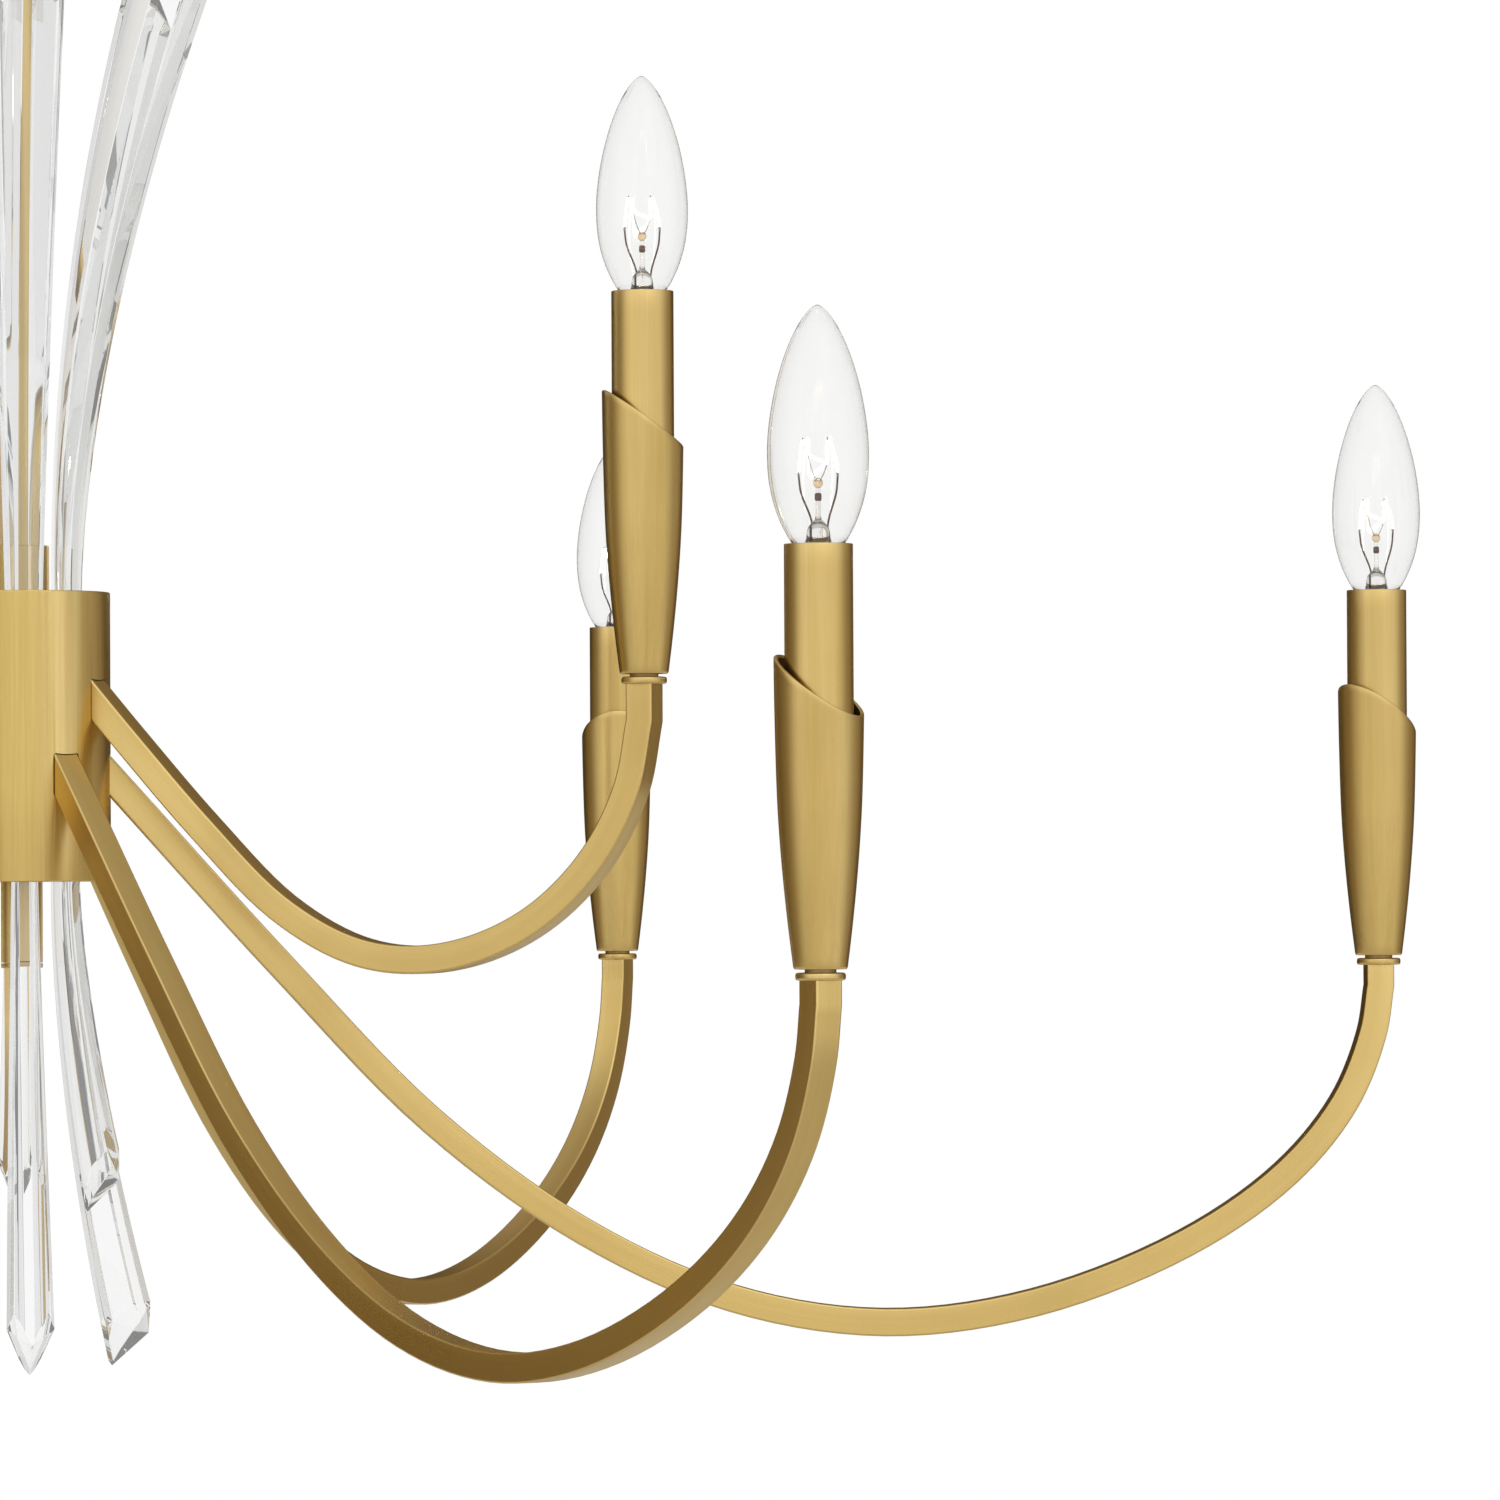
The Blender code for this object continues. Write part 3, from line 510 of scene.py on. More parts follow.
def arm_mesh(name, curve, reach, sleeve_top):
    """Bent square bar with eased edges, its turned check ring and the nipple above it."""
    shape = Shape()
    top = sleeve_top - CUP_DEPTH - 3.5
    path = smooth_path(curve, 7)
    path.append(Vector((reach, (path[-1].y + top) / 2.0)))
    path.append(Vector((reach, top + 0.2)))
    half = 5.0
    ease = 0.75
    steps = 3
    verts = []
    normals = {}
    around = []
    length = 0.0
    runs = []
    for i, p in enumerate(path):
        before = path[max(i - 1, 0)]
        after = path[min(i + 1, len(path) - 1)]
        if i:
            length += (p - before).length
        runs.append(length)
        t = (after - before).normalized()
        up = Vector((-t.y, t.x))
        rise = Vector((0.0, 1.0 / t.x)) if i == 0 else up
        lap = 0.0
        for corner in range(4):
            start = math.pi / 2.0 * corner
            cy = (half - ease) * (1 if corner in (0, 3) else -1)
            cn = (half - ease) * (1 if corner in (0, 1) else -1)
            for s in range(steps + 1):
                a = start + math.pi / 2.0 * s / steps
                y = cy + ease * math.cos(a)
                m = cn + ease * math.sin(a)
                normals[len(verts)] = (up.x * math.sin(a), math.cos(a), up.y * math.sin(a))
                verts.append((p.x + rise.x * m, y, p.y + rise.y * m))
                if i == 0:
                    around.append(lap)
                lap += 0.4 if s < steps else 8.5
    n = 4 * (steps + 1)
    around.append(around[-1] + 8.5)
    faces = []
    uvs = []
    for i in range(len(path) - 1):
        a = i * n
        b = a + n
        for k in range(n):
            j = (k + 1) % n
            faces.append((a + k, a + j, b + j, b + k))
            u0, u1 = runs[i] * MM, runs[i + 1] * MM
            v0, v1 = around[k] * MM, around[k + 1] * MM
            uvs.append(((u0, v0), (u0, v1), (u1, v1), (u1, v0)))
    faces.append(tuple(range(n))[::-1])
    uvs.append(tuple((0.0, 0.0) for _ in range(n)))
    last = (len(path) - 1) * n
    faces.append(tuple(range(last, last + n)))
    uvs.append(tuple((0.0, 0.0) for _ in range(n)))
    shape.add(verts, faces, 0, normals, uvs)
    ring = [
        (4.2, top, 0.0), (7.95, top, 1.0), (7.95, top + 2.5, 1.0), (4.2, top + 2.5, 0.0),
    ]
    lathe(shape, round_corner(ring, 5), 48, 1, close=True, centre=(reach, 0.0))
    neck = [
        (3.3, top + 0.5), (5.0, top + 0.5), (5.0, top + 3.8), (5.0, top + 12.0),
        (4.6, top + 13.0), (3.3, top + 13.0),
    ]
    # the neck is in the darker brass of painted shade
    lathe(shape, neck, 32, 2, close=True, centre=(reach, 0.0))
    return shape.mesh(name, ("bar", "turned", "inside"), 50.0)


# ------------------------------------------------------------------ candle
CUP_OUTLINE = (
    (30.0, 14.35), (34.0, 14.3), (54.5, 14.05), (79.5, 13.4), (92.0, 12.7), (104.5, 11.7),
    (117.0, 10.45), (126.0, 9.4), (132.3, 8.6),
)
CUP_FINE = [(p.x, p.y) for p in smooth_path(CUP_OUTLINE, 8)]


def cup_radius(depth):
    for (d0, r0), (d1, r1) in zip(CUP_FINE, CUP_FINE[1:]):
        if depth <= d1:
            return r0 + (r1 - r0) * (depth - d0) / (d1 - d0)
    return CUP_FINE[-1][1]


def cup_mesh():
    """Tulip cup with a slanting, slightly rounded lip; brushed outside, and inside a darker brass that
    paints the shade.
    """
    segments = 72
    wall = 1.3
    mid, swing = 44.25, 9.75
    foot = CUP_DEPTH
    rings = []

    def rim(a):
        return mid - swing * math.cos(a)

    def level(t, a):
        return rim(a) + (foot - 0.9 - rim(a)) * t

    lip = 0.45
    rings.append((lambda a: cup_radius(rim(a)) - wall + lip * 0.3, lambda a: rim(a) + lip * 0.3, 0))
    rings.append((lambda a: cup_radius(rim(a)) - wall + lip, lambda a: rim(a), 0))
    rings.append((lambda a: cup_radius(rim(a)) - lip, lambda a: rim(a), 0))
    rings.append((lambda a: cup_radius(rim(a)) - lip * 0.3, lambda a: rim(a) + lip * 0.3, 0))
    rings.append((lambda a: cup_radius(rim(a)), lambda a: rim(a) + lip, 0))
    for i in range(1, 37):
        t = i / 36.0
        rings.append((lambda a, t=t: cup_radius(level(t, a)), lambda a, t=t: level(t, a), 0))
    rings.append((lambda a: 8.45, lambda a: foot - 0.35, 0))
    rings.append((lambda a: 8.05, lambda a: foot, 0))
    # from here the rings run inside the cup, in the darker brass of painted shade
    rings.append((lambda a: 5.3, lambda a: foot, 1))
    rings.append((lambda a: 5.3, lambda a: foot - 3.0, 1))
    rings.append((lambda a: cup_radius(foot - 3.0) - wall, lambda a: foot - 3.0, 1))
    for i in range(11, -1, -1):
        t = i / 12.0
        rings.append((
            lambda a, t=t: cup_radius(rim(a) + 1.0 + (foot - 4.0 - rim(a)) * t) - wall,
            lambda a, t=t: rim(a) + 1.0 + (foot - 4.0 - rim(a)) * t, 1,
        ))
    shape = Shape()
    verts = []
    for r_of, d_of, _ in rings:
        for i in range(segments):
            a = 2.0 * math.pi * i / segments
            r, d = r_of(a), d_of(a)
            verts.append((r * math.cos(a), r * math.sin(a), -d))
    count = len(rings)
    faces = []
    slots = []
    for k in range(count):
        b = (k + 1) % count
        for i in range(segments):
            j = (i + 1) % segments
            faces.append((k * segments + i, b * segments + i, b * segments + j, k * segments + j))
            slots.append(1 if rings[b][2] else 0)
    shape.add(verts, faces)
    shape.slots = slots
    return shape.mesh("cup", ("turned", "inside"), 55.0)


def sleeve_mesh():
    """Thin candle sleeve; the top edge is eased, bright outside, and inside a darker brass that paints the
    shade.
    """
    shape = Shape()
    outer, inner, length = 10.85, 10.1, 94.5
    verts_out = [(outer - 0.25, 0.0), (outer - 0.08, -0.08), (outer, -0.28)]
    steps = [(outer, -0.28 - (length - 0.56) * i / 12.0) for i in range(1, 13)]
    end = [(outer - 0.2, -length), (inner + 0.2, -length), (inner, -length + 0.25)]
    back = [(inner, -0.3), (inner + 0.15, 0.0)]
    profile = (verts_out + steps + end + back)[::-1]
    lathe(shape, profile, 64, 0, close=True)
    count = len(profile)
    for f in range(len(shape.faces)):
        pair = f // 64
        a = profile[pair][0]
        b = profile[(pair + 1) % count][0]
        # the inner wall gets the darker brass of painted shade
        if a < inner + 0.1 and b < inner + 0.1:
            shape.slots[f] = 1
    return shape.mesh("sleeve", ("turned", "inside"), 50.0)


def holder_mesh():
    shape = Shape()
    stand = -(CUP_DEPTH - 3.3)
    outline = [
        (6.5, -27.0, 0.0), (2.0, -27.0, 0.0), (2.0, stand + 22.0, 0.0), (5.3, stand + 22.0, 0.0),
        (5.3, stand, 0.4), (6.8, stand, 0.6), (6.8, -62.0, 1.5), (9.3, -58.0, 1.5),
        (9.3, -30.0, 0.0), (8.9, -29.4, 0.3), (8.9, -27.6, 0.3), (9.3, -27.0, 0.0),
        (9.3, -2.5, 0.8), (6.5, -2.5, 0.4),
    ]
    lathe(shape, round_corner(outline, 3), 40, 0, close=True)
    return shape.mesh("lampholder", ("holder",), 40.0)


# ------------------------------------------------------------------ bulb
def bulb_radius(h):
    widest = 29.0
    if h <= widest:
        t = (widest - h) / widest
        return 16.0 * (1.0 - 0.48 * t ** 2.41)
    t = (h - widest) / 46.0
    return 16.0 * max(0.0, 1.0 - t ** 1.7) ** 0.64


def bulb_mesh():
    """Torpedo bulb: blown envelope of real thickness, mount, wires, coil, screw cap."""
    shape = Shape()
    wall = 0.45
    outer = [(6.1, -1.4), (7.4, -0.8), (8.0, -0.2)]
    outer += [(bulb_radius(h) - 0.03, h) for h in [1.5 * i for i in range(0, 46)]]
    outer += [(bulb_radius(h) - 0.03, h) for h in (69.0, 70.4, 71.7, 72.8, 73.7, 74.3, 74.7, 74.9)]
    outer.append((0.0, 74.98))
    inner = [(0.0, 74.4), (bulb_radius(74.7) * 0.8, 74.1)]
    inner += [(bulb_radius(h + 0.5) - wall * 0.9, h) for h in (73.2, 72.2, 71.0, 69.6)]
    inner += [(bulb_radius(h) - wall, h) for h in [1.5 * i for i in range(45, 0, -1)]]
    inner += [(7.7, 0.1), (6.9, -0.5), (5.6, -1.4)]
    lathe(shape, outer + inner, 64, 0, close=True)
    # glass mount: solid flare and rod, its foot left open inside the cap; amber bead, dark tie bead
    mount = [
        (5.0, -1.0), (4.3, 0.2), (3.9, 1.6), (3.7, 3.6), (3.3, 5.2), (2.2, 6.6), (1.15, 7.6),
        (0.8, 9.0), (0.75, 17.6), (0.0, 17.7),
    ]
    lathe(shape, mount, 32, 0)
    amber_bead = [
        (0.0, 17.4), (0.9, 17.7), (1.45, 18.4), (1.6, 19.1), (1.4, 19.9), (0.8, 20.5), (0.0, 20.7),
    ]
    lathe(shape, amber_bead, 24, 1)
    tie_bead = [(0.0, 13.4), (0.85, 13.5), (1.1, 13.9), (1.1, 15.5), (0.85, 15.9), (0.0, 16.0)]
    lathe(shape, tie_bead, 8, 2)
    for x0, x1, x2 in ((-2.1, -5.4, -6.1), (3.2, 5.7, 6.2)):
        lead = [(x0 * 0.8, 0.0, 0.0), (x0, 0.0, 7.2), (x1, 0.0, 16.0), (x2, 0.0, 21.3)]
        tube(shape, smooth_path(lead, 5), 0.32, 8, 2)
        tube(shape, [(x2, 0.0, 21.2), (x2 * 0.985, 0.0, 22.6)], 0.42, 8, 5)
    supports = (
        [(-0.5, 0.0, 19.6), (-2.0, 0.3, 23.6), (-3.2, 0.0, 28.1), (-3.3, -0.4, 29.2)],
        [(0.5, 0.0, 19.6), (1.9, -0.3, 22.3), (2.7, 0.0, 24.7), (2.9, 0.4, 25.8)],
    )
    for support in supports:
        tube(shape, smooth_path(support, 4), 0.16, 6, 3)
    tube(shape, [(-4.9, 0.0, 31.4), (-4.7, 0.0, 33.2)], 0.22, 6, 3)
    tube(shape, [(3.1, 0.0, 31.6), (3.0, 0.0, 33.4)], 0.22, 6, 3)
    coil_line = smooth_path([
        (-6.1, 0.0, 22.4), (-5.6, 0.5, 27.0), (-4.8, 0.3, 32.2), (-4.0, -0.4, 31.0),
        (-3.25, -0.3, 28.8), (-1.2, -0.6, 26.9), (1.0, -0.4, 26.0), (2.8, 0.3, 25.5),
        (3.0, 0.5, 28.6), (3.1, 0.3, 32.2), (4.3, -0.2, 30.6), (5.5, -0.3, 26.6), (6.2, 0.0, 22.4),
    ], 10)
    coil = []
    for i, p in enumerate(coil_line):
        before = coil_line[max(i - 1, 0)]
        after = coil_line[min(i + 1, len(coil_line) - 1)]
        t = (after - before).normalized()
        side = t.cross(Vector((0.0, 1.0, 0.0))).normalized()
        up = side.cross(t)
        coil.append((p, side, up))
    turns = []
    for i in range(len(coil) - 1):
        for s in range(4):
            f = s / 4.0
            p = coil[i][0].lerp(coil[i + 1][0], f)
            a = 2.0 * math.pi * (i + f) * 0.5
            turns.append(p + coil[i][1] * (0.32 * math.cos(a)) + coil[i][2] * (0.32 * math.sin(a)))
    tube(shape, turns, 0.13, 5, 4)
    # screw cap with rolled thread, insulator and contact
    cap = [(0.0, -19.2), (4.2, -19.2), (5.4, -18.6)]
    for i in range(44):
        z = -18.2 + 14.0 * i / 43.0
        cap.append((5.62 + 0.34 * math.cos(2.0 * math.pi * (z + 18.2) / 2.4), z))
    cap += [(5.75, -3.6), (6.0, -2.2), (6.0, -1.1), (5.7, -0.9), (0.0, -0.9)]
    lathe(shape, cap, 40, 6)
    lathe(shape, [(0.0, -22.4), (2.7, -22.2), (4.3, -20.4), (4.6, -19.25), (0.0, -19.25)], 32, 7)
    lathe(shape, [(0.0, -24.0), (1.5, -23.8), (2.5, -23.1), (2.7, -22.2), (0.0, -22.2)], 24, 8)
    parts = ("bulb", "amber", "wire", "grey_wire", "hot", "solder", "cap", "black", "solder")
    return shape.mesh("bulb", parts, 50.0)


# ------------------------------------------------------------------ blades
def blade_section(z):
    """Inner radius, outer radius and greatest half width at height z."""
    if z > HUB_H:
        h = (z - HUB_H) / 262.0
        inner, outer, half = 16.3 + 48.6 * h ** 2.0, 21.0 + 68.5 * h ** 1.7, 6.9 + 7.5 * h
    elif z < 0.0:
        h = -z / 175.0
        inner, outer, half = 14.9 + 25.8 * h ** 1.75, 20.9 + 35.7 * h ** 1.55, 4.85 + 4.1 * h
    else:
        t = z / HUB_H
        inner, outer, half = 14.9 + 1.4 * t, 20.9 + 0.1 * t, 4.85 + 2.05 * t
    return inner - 0.29 * half, outer + 0.155 * half, half


def blade_mesh(name, top, bottom):
    """Bar of clear glass: chamfered inner side, eased arrises, each end cut by two facets."""
    up_steps, mid_steps, down_steps = 30, 4, 22
    levels = []
    for i in range(up_steps, 0, -1):
        levels.append([HUB_H + (h - HUB_H) * i / up_steps for h in top])
    for i in range(mid_steps, -1, -1):
        levels.append([HUB_H * i / mid_steps] * 5)
    for i in range(1, down_steps + 1):
        levels.append([h * i / down_steps for h in bottom])
    bm = bmesh.new()
    vs = []
    for outer_z, outer_mid, waist_z, inner_z, inner_mid in levels:
        inner, outer, half = blade_section(inner_mid)
        flat = 1.6 / half
        nose = (0.45 * half - 1.6) / (outer - inner)
        rise = 2.0 * (inner_z - inner_mid)
        flat_z = inner_mid + rise * flat
        nose_z = inner_mid + rise * 0.45 + (outer_mid - inner_mid) * nose
        corners = (
            (1.0, -0.73, outer_z), (1.0, 0.0, outer_mid), (1.0, 0.73, outer_z), (0.57, 1.0, waist_z),
            (nose, 0.45, nose_z), (0.0, flat, flat_z), (0.0, 0.0, inner_mid), (0.0, -flat, flat_z),
            (nose, -0.45, nose_z), (0.57, -1.0, waist_z),
        )
        for depth, side, z in corners:
            inner, outer, half = blade_section(z)
            vs.append(bm.verts.new(((inner + (outer - inner) * depth) * MM, side * half * MM, z * MM)))
    count = len(levels)
    for i in range(count - 1):
        a, b = i * 10, i * 10 + 10
        for k in range(10):
            j = (k + 1) % 10
            bm.faces.new((vs[a + k], vs[a + j], vs[b + j], vs[b + k]))
    for a in (0, (count - 1) * 10):
        for k in range(8):
            bm.faces.new((vs[a + 1], vs[a + (k + 2) % 10], vs[a + (k + 3) % 10]))
    bmesh.ops.recalc_face_normals(bm, faces=bm.faces)
    weight = bm.edges.layers.float.new("bevel_weight_edge")
    bm.verts.index_update()
    for e in bm.edges:
        a, b = e.verts[0].index, e.verts[1].index
        if a % 10 == b % 10 and a // 10 != b // 10:
            e[weight] = 0.0 if a % 10 in (1, 6) else 1.0
        elif a // 10 == b // 10 and a // 10 in (0, count - 1) and e.calc_face_angle(0.0) > 0.3:
            e[weight] = 1.0
    mesh = bpy.data.meshes.new(name)
    bm.to_mesh(mesh)
    bm.free()
    mesh.materials.append(M["blade"])
    obj = loose(mesh)
    mod = obj.modifiers.new("arris", "BEVEL")
    mod.width = 0.00022
    mod.segments = 1
    mod.limit_method = "WEIGHT"
    mod.use_clamp_overlap = True
    bpy.context.view_layer.update()
    deps = bpy.context.evaluated_depsgraph_get()
    out = bpy.data.meshes.new_from_object(obj.evaluated_get(deps), depsgraph=deps)
    bpy.data.objects.remove(obj, do_unlink=True)
    out.name = name
    out.shade_smooth()
    out.set_sharp_from_angle(angle=math.radians(9.0))
    return out


# ------------------------------------------------------------------ hub
def hub_body_mesh():
    shape = Shape()
    outline = [
        (25.1, 0.0, 0.3), (HUB_R, 0.0, 0.7), (HUB_R, HUB_H, 0.7), (25.1, HUB_H, 0.3),
    ]
    lathe(shape, round_corner(outline, 4), 128, 0, close=True)
    body = loose(shape.mesh("hub_body", ("hub",), 25.0))
    cutters = []
    half = 5.3
    for curve, azimuths in ((LOWER_CURVE, LOWER), (UPPER_CURVE, UPPER)):
        start = Vector(curve[0])
        run = (Vector(curve[1]) - start).normalized()
        ends = (start - run * 6.0, start + run * 30.0)
        up = Vector((-run.y, run.x))
        ease = 1.1
        verts = []
        for p in ends:
            for corner in range(4):
                cy = (half - ease) * (1 if corner in (0, 3) else -1)
                cn = (half - ease) * (1 if corner in (0, 1) else -1)
                for s in range(4):
                    a = math.pi / 2.0 * (corner + s / 3.0)
                    y = cy + ease * math.cos(a)
                    m = cn + ease * math.sin(a)
                    verts.append((p.x + up.x * m, y, p.y + up.y * m))
        faces = [tuple(range(16))[::-1], tuple(range(16, 32))]
        faces += [(k, (k + 1) % 16, (k + 1) % 16 + 16, k + 16) for k in range(16)]
        for azimuth in azimuths:
            hole = Shape()
            hole.add(verts, faces)
            obj = loose(hole.mesh("window", ("hub",)))
            obj.rotation_euler = (0.0, 0.0, math.radians(azimuth))
            cutters.append(obj)
    mesh = cut(body, cutters)
    bpy.data.objects.remove(body, do_unlink=True)
    mesh.name = "hub_body"
    bm = bmesh.new()
    bm.from_mesh(mesh)
    bmesh.ops.triangulate(bm, faces=[f for f in bm.faces if len(f.verts) > 4])
    bm.to_mesh(mesh)
    bm.free()
    mesh.shade_smooth()
    mesh.set_sharp_from_angle(angle=math.radians(25.0))
    mesh.update()
    corner = [tuple(c.vector) for c in mesh.corner_normals]
    for poly in mesh.polygons:
        points = [mesh.vertices[i].co for i in poly.vertices]
        if min(math.hypot(p.x, p.y) for p in points) > HUB_R * MM - 0.00005:
            for loop in poly.loop_indices:
                v = mesh.vertices[mesh.loops[loop].vertex_index].co
                corner[loop] = tuple(Vector((v.x, v.y, 0.0)).normalized())
    mesh.normals_split_custom_set(corner)
    return mesh


def hub_core_mesh():
    shape = Shape()
    outline = [
        (7.8, 1.0, 0.0), (24.8, 1.0, 0.4), (24.8, HUB_H - 1.0, 0.5), (10.3, HUB_H - 1.0, 0.6),
        (10.3, HUB_H + 17.0, 0.8), (7.8, HUB_H + 17.0, 0.2),
    ]
    lathe(shape, round_corner(outline, 3), 96, 0, close=True)
    core = loose(shape.mesh("hub_core", ("turned",), 25.0))
    cutters = []
    for azimuth in (-90.0, 30.0, 150.0, -30.0, 90.0, 210.0):
        verts = []
        for z in (-5.0, HUB_H + 5.0):
            for x, y in ((13.1, -3.9), (18.4, -7.4), (22.6, -5.6), (22.6, 5.6), (18.4, 7.4), (13.1, 3.9)):
                verts.append((x, y, z))
        faces = [(5, 4, 3, 2, 1, 0), (6, 7, 8, 9, 10, 11)]
        faces += [(k, (k + 1) % 6, (k + 1) % 6 + 6, k + 6) for k in range(6)]
        hole = Shape()
        hole.add(verts, faces)
        obj = loose(hole.mesh("slot", ("turned",)))
        obj.rotation_euler = (0.0, 0.0, math.radians(azimuth + BLADE_TURN))
        cutters.append(obj)
    mesh = cut(core, cutters)
    bpy.data.objects.remove(core, do_unlink=True)
    mesh.name = "hub_core"
    mesh.shade_smooth()
    mesh.set_sharp_from_angle(angle=math.radians(25.0))
    return mesh


def stem_mesh():
    shape = Shape()
    profile = [(0.0, -29.0), (7.5, -29.0), (7.5, 384.8), (7.2, 385.7), (6.6, 386.0), (0.0, 386.0)]
    fine = profile[:2] + [(7.5, -29.0 + 413.8 * i / 20.0) for i in range(1, 20)] + profile[2:]
    lathe(shape, fine, 64)
    return shape.mesh("stem", ("turned",), 40.0)


def stem_cap_mesh():
    shape = Shape()
    outline = [(0.0, -31.0, 0.0), (7.5, -31.0, 0.7), (7.5, -29.3, 0.25), (0.0, -29.3, 0.0)]
    pts = round_corner(outline, 4)
    lathe(shape, pts, 64)
    return shape.mesh("stem_cap", ("turned",), 40.0)


# ------------------------------------------------------------------ suspension
def loop_piece(name, centre_z, foot):
    shape = Shape()
    ring = [
        (11.0 * math.sin(2.0 * math.pi * i / 64), 0.0, centre_z + 11.0 * math.cos(2.0 * math.pi * i / 64))
        for i in range(64)
    ]
    tube(shape, ring, 2.5, 20, 0, closed=True, flat=(0.0, 1.0, 0.0))
    lathe(shape, round_corner(foot, 4), 64, 0)
    return shape.mesh(name, ("turned",), 40.0)


def link_piece(top_z):
    shape = Shape()
    path = []
    for half, centre in ((0, top_z - 9.0), (1, top_z - 27.0)):
        for i in range(25):
            a = math.pi * i / 24.0 + math.pi * half
            path.append((0.0, 9.0 * math.cos(a), centre + 9.0 * math.sin(a)))
    tube(shape, path, 2.5, 20, 0, closed=True, flat=(1.0, 0.0, 0.0))
    return shape.mesh("link", ("turned",), 60.0)


def canopy_piece():
    shape = Shape()
    outer, inner = [], []
    for i in range(25):
        a = math.pi / 2.0 * i / 24.0
        outer.append((12.0 + 53.0 * math.cos(a), -6.0 - 20.0 * math.sin(a)))
        inner.append((12.0 + 51.5 * math.cos(a), -6.0 - 18.5 * math.sin(a)))
    profile = [(64.6, -0.3), (65.0, -0.7)] + outer + [(5.3, -26.0), (5.3, -24.5)] + inner[::-1]
    profile += [(63.5, -0.7), (63.8, -0.3)]
    lathe(shape, profile[::-1], 96, 0, close=True)
    return shape.mesh("canopy", ("turned",), 40.0)


# ------------------------------------------------------------------ assembly
def build():
    cup, sleeve, holder, bulb = cup_mesh(), sleeve_mesh(), holder_mesh(), bulb_mesh()
    tiers = (
        ("lower", LOWER, LOWER_REACH, LOWER_TOP, LOWER_CURVE),
        ("upper", UPPER, UPPER_REACH, UPPER_TOP, UPPER_CURVE),
    )
    for tier, azimuths, reach, sleeve_top, curve in tiers:
        arm = arm_mesh("arm_" + tier, curve, reach, sleeve_top)
        for number, azimuth in enumerate(azimuths, 1):
            tag = "_%s_%d" % (tier, number)
            a = math.radians(azimuth)
            at = (reach * math.cos(a), reach * math.sin(a), ZB + sleeve_top)
            put("bent_arm" + tag, arm, "fixture", "arm" + tag, (0.0, 0.0, ZB), azimuth)
            put("tulip_cup" + tag, cup, "fixture", "cup" + tag, at, azimuth + 210.0)
            put("candle_sleeve" + tag, sleeve, "fixture", "sleeve" + tag, at, azimuth)
            put("socket" + tag, holder, "fixture", "lampholder" + tag, at, azimuth)
            put("lamp" + tag, bulb, "bulb" + tag, "bulb" + tag, at)
    down_blade = blade_mesh(
        "glass_down", (310.0, 321.5, 316.0, 327.5, 333.0), (-152.7, -164.0, -158.8, -170.3, -175.5))
    up_blade = blade_mesh(
        "glass_up", (367.0, 378.5, 373.0, 384.5, 390.0), (-96.0, -107.0, -102.0, -113.0, -118.5))
    base = (0.0, 0.0, ZB)
    for number, azimuth in enumerate((-90.0, 30.0, 150.0), 1):
        tag = "blade_down_%d" % number
        put("glass_" + tag, down_blade, "fixture", tag, base, azimuth + BLADE_TURN)
    for number, azimuth in enumerate((-30.0, 90.0, 210.0), 1):
        tag = "blade_up_%d" % number
        put("glass_" + tag, up_blade, "fixture", tag, base, azimuth + BLADE_TURN)
    put("drum", hub_body_mesh(), "fixture", "hub_body", base)
    put("drum_core", hub_core_mesh(), "fixture", "hub_core", base)
    put("stem_tube", stem_mesh(), "fixture", "stem", base)
    put("stem_end_cap", stem_cap_mesh(), "fixture", "stem_cap", base)
    link_top = -48.7
    loop_z = -90.4
    foot = [
        (0.0, -113.7, 0.0), (9.0, -113.7, 0.8), (9.0, loop_z - 16.0, 1.0),
        (6.0, loop_z - 12.0, 1.0), (0.0, loop_z - 12.0, 0.0),
    ]
    put("stem_eye", loop_piece("stem_eye", loop_z, foot), "fixture", "stem_loop")
    foot = [
        (0.0, -31.0, 0.0), (7.0, -31.0, 0.8), (11.0, -28.8, 0.6), (11.0, -26.3, 0.3),
        (5.0, -26.3, 0.0), (5.0, -3.2, 0.3), (0.0, -3.2, 0.0),
    ]
    put("canopy_eye", loop_piece("canopy_eye", -43.0, foot), "ceiling_mount", "canopy_loop")
    put("oval_link", link_piece(link_top), "link", "link")
    put("ceiling_cup", canopy_piece(), "ceiling_mount", "canopy")
    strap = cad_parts["ceiling_strap"]
    for slot in strap.material_slots:
        slot.material = M["zinc"]


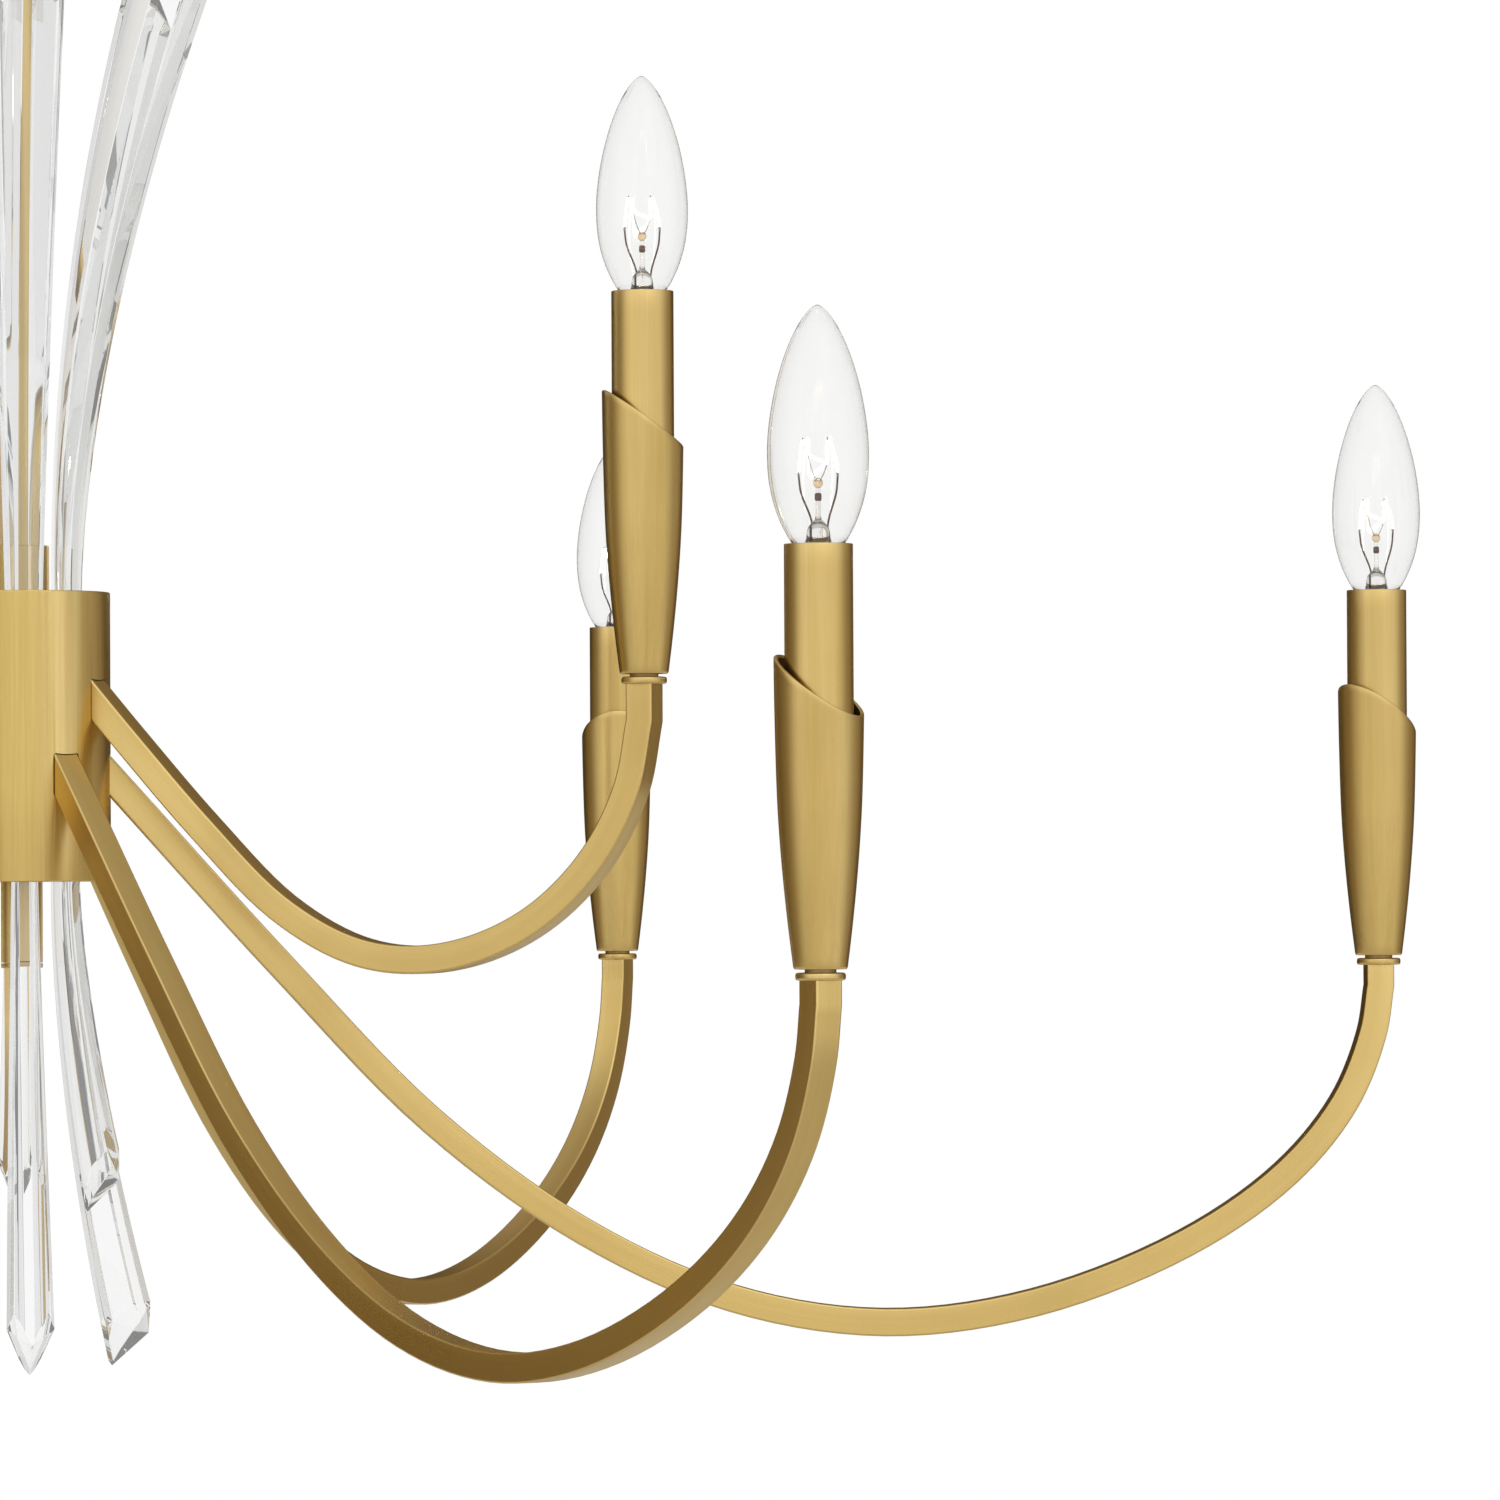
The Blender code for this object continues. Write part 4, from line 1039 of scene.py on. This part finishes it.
# ------------------------------------------------------------------ surroundings
def make_world():
    """White to the lens, a bright-fronted studio to the brass, pale sides to the glass."""
    world = bpy.data.worlds.new("studio")
    scene.world = world
    world.use_nodes = True
    tree = world.node_tree
    tree.nodes.clear()
    n = Nodes(tree)
    coord = n.add("ShaderNodeTexCoord")
    split = n.add("ShaderNodeSeparateXYZ")
    n.link(coord.outputs["Generated"], split.inputs[0])
    x, y, z = split.outputs
    front = n.ramp(y, 0.25, -0.92)
    right = n.ramp(x, 0.6, 0.98)
    left = n.ramp(x, -0.6, -0.98)
    above = n.ramp(z, 0.15, 0.9)
    below = n.ramp(z, -0.1, -0.9)
    level = n.math("MULTIPLY", front, 1.04)
    level = n.math("ADD", level, n.math("MULTIPLY", right, 0.35))
    level = n.math("ADD", level, n.math("MULTIPLY", left, 0.20))
    level = n.math("ADD", level, n.math("MULTIPLY", above, 0.45))
    level = n.math("MULTIPLY", level, n.ramp(below, 0.0, 1.0, 1.0, 0.80))
    level = n.math("ADD", level, 0.05)
    studio = n.mix(n.ramp(level, 0.08, 0.7), rgb(1.0, 0.70, 0.32), rgb(1.0, 1.0, 1.0))
    paint = n.add("ShaderNodeBackground")
    n.link(studio, paint.inputs["Color"])
    n.link(level, paint.inputs["Strength"])
    clear = n.ramp(y, 0.55, 0.90, SURROUND_DARK, 1.0)
    seen = n.add("ShaderNodeBackground")
    seen.inputs["Color"].default_value = rgb(1.0, 1.0, 1.0)
    n.link(clear, seen.inputs["Strength"])
    white = n.add("ShaderNodeBackground")
    white.inputs["Color"].default_value = rgb(1.0, 1.0, 1.0)
    white.inputs["Strength"].default_value = 1.0
    path = n.add("ShaderNodeLightPath")
    first = n.add("ShaderNodeMixShader")
    n.link(path.outputs["Is Transmission Ray"], first.inputs[0])
    n.link(paint.outputs[0], first.inputs[1])
    n.link(seen.outputs[0], first.inputs[2])
    last = n.add("ShaderNodeMixShader")
    n.link(path.outputs["Is Camera Ray"], last.inputs[0])
    n.link(first.outputs[0], last.inputs[1])
    n.link(white.outputs[0], last.inputs[2])
    out = n.add("ShaderNodeOutputWorld")
    n.link(last.outputs[0], out.inputs["Surface"])


def area_light(name, location, target, size, power):
    """Soft box of white light, not itself seen by the lens or through the glass."""
    data = bpy.data.lights.new(name, "AREA")
    data.shape = "RECTANGLE"
    data.size = size[0]
    data.size_y = size[1]
    data.energy = power
    obj = bpy.data.objects.new(name, data)
    scene.collection.objects.link(obj)
    obj.location = location
    aim = Vector(target) - Vector(location)
    obj.rotation_euler = aim.to_track_quat("-Z", "Y").to_euler()
    obj.visible_camera = False
    obj.visible_transmission = False


def make_floor():
    """Pale plaster floor, very slightly uneven and turned up at its rim."""
    bm = bmesh.new()
    size, cells = 4.0, 24
    bmesh.ops.create_grid(bm, x_segments=cells, y_segments=cells, size=size)
    for v in bm.verts:
        r = math.hypot(v.co.x, v.co.y)
        v.co.z = FLOOR_Z + 0.0004 * math.sin(3.1 * v.co.x) * math.sin(2.7 * v.co.y)
        if r > 3.6:
            v.co.z += 0.02 * (r - 3.6)
    mesh = bpy.data.meshes.new("floor")
    bm.to_mesh(mesh)
    bm.free()
    mesh.shade_smooth()
    mat, n, bsdf = new_material("floor_plaster")
    coord = n.add("ShaderNodeTexCoord")
    cloud = n.noise(coord.outputs["Object"], 2.2, 4.0, 0.5)
    grain = n.noise(coord.outputs["Object"], 180.0, 2.0, 0.5)
    tone = n.mix(n.ramp(cloud, 0.3, 0.7), rgb(0.84, 0.84, 0.83), rgb(0.88, 0.88, 0.87))
    n.link(tone, bsdf.inputs["Base Color"])
    n.link(n.ramp(grain, 0.2, 0.8, 0.55, 0.7), bsdf.inputs["Roughness"])
    mesh.materials.append(mat)
    obj = bpy.data.objects.new("floor", mesh)
    scene.collection.objects.link(obj)


scene.view_settings.view_transform = "Standard"
scene.view_settings.look = "None"
make_camera()
build()
make_world()
make_floor()
area_light("key", (1.3, -2.3, 1.5), (0.1, 0.0, -0.45), (1.6, 1.6), 2.5)
area_light("fill", (-2.4, -1.6, 0.4), (0.0, 0.0, -0.5), (2.0, 2.0), 3.0)
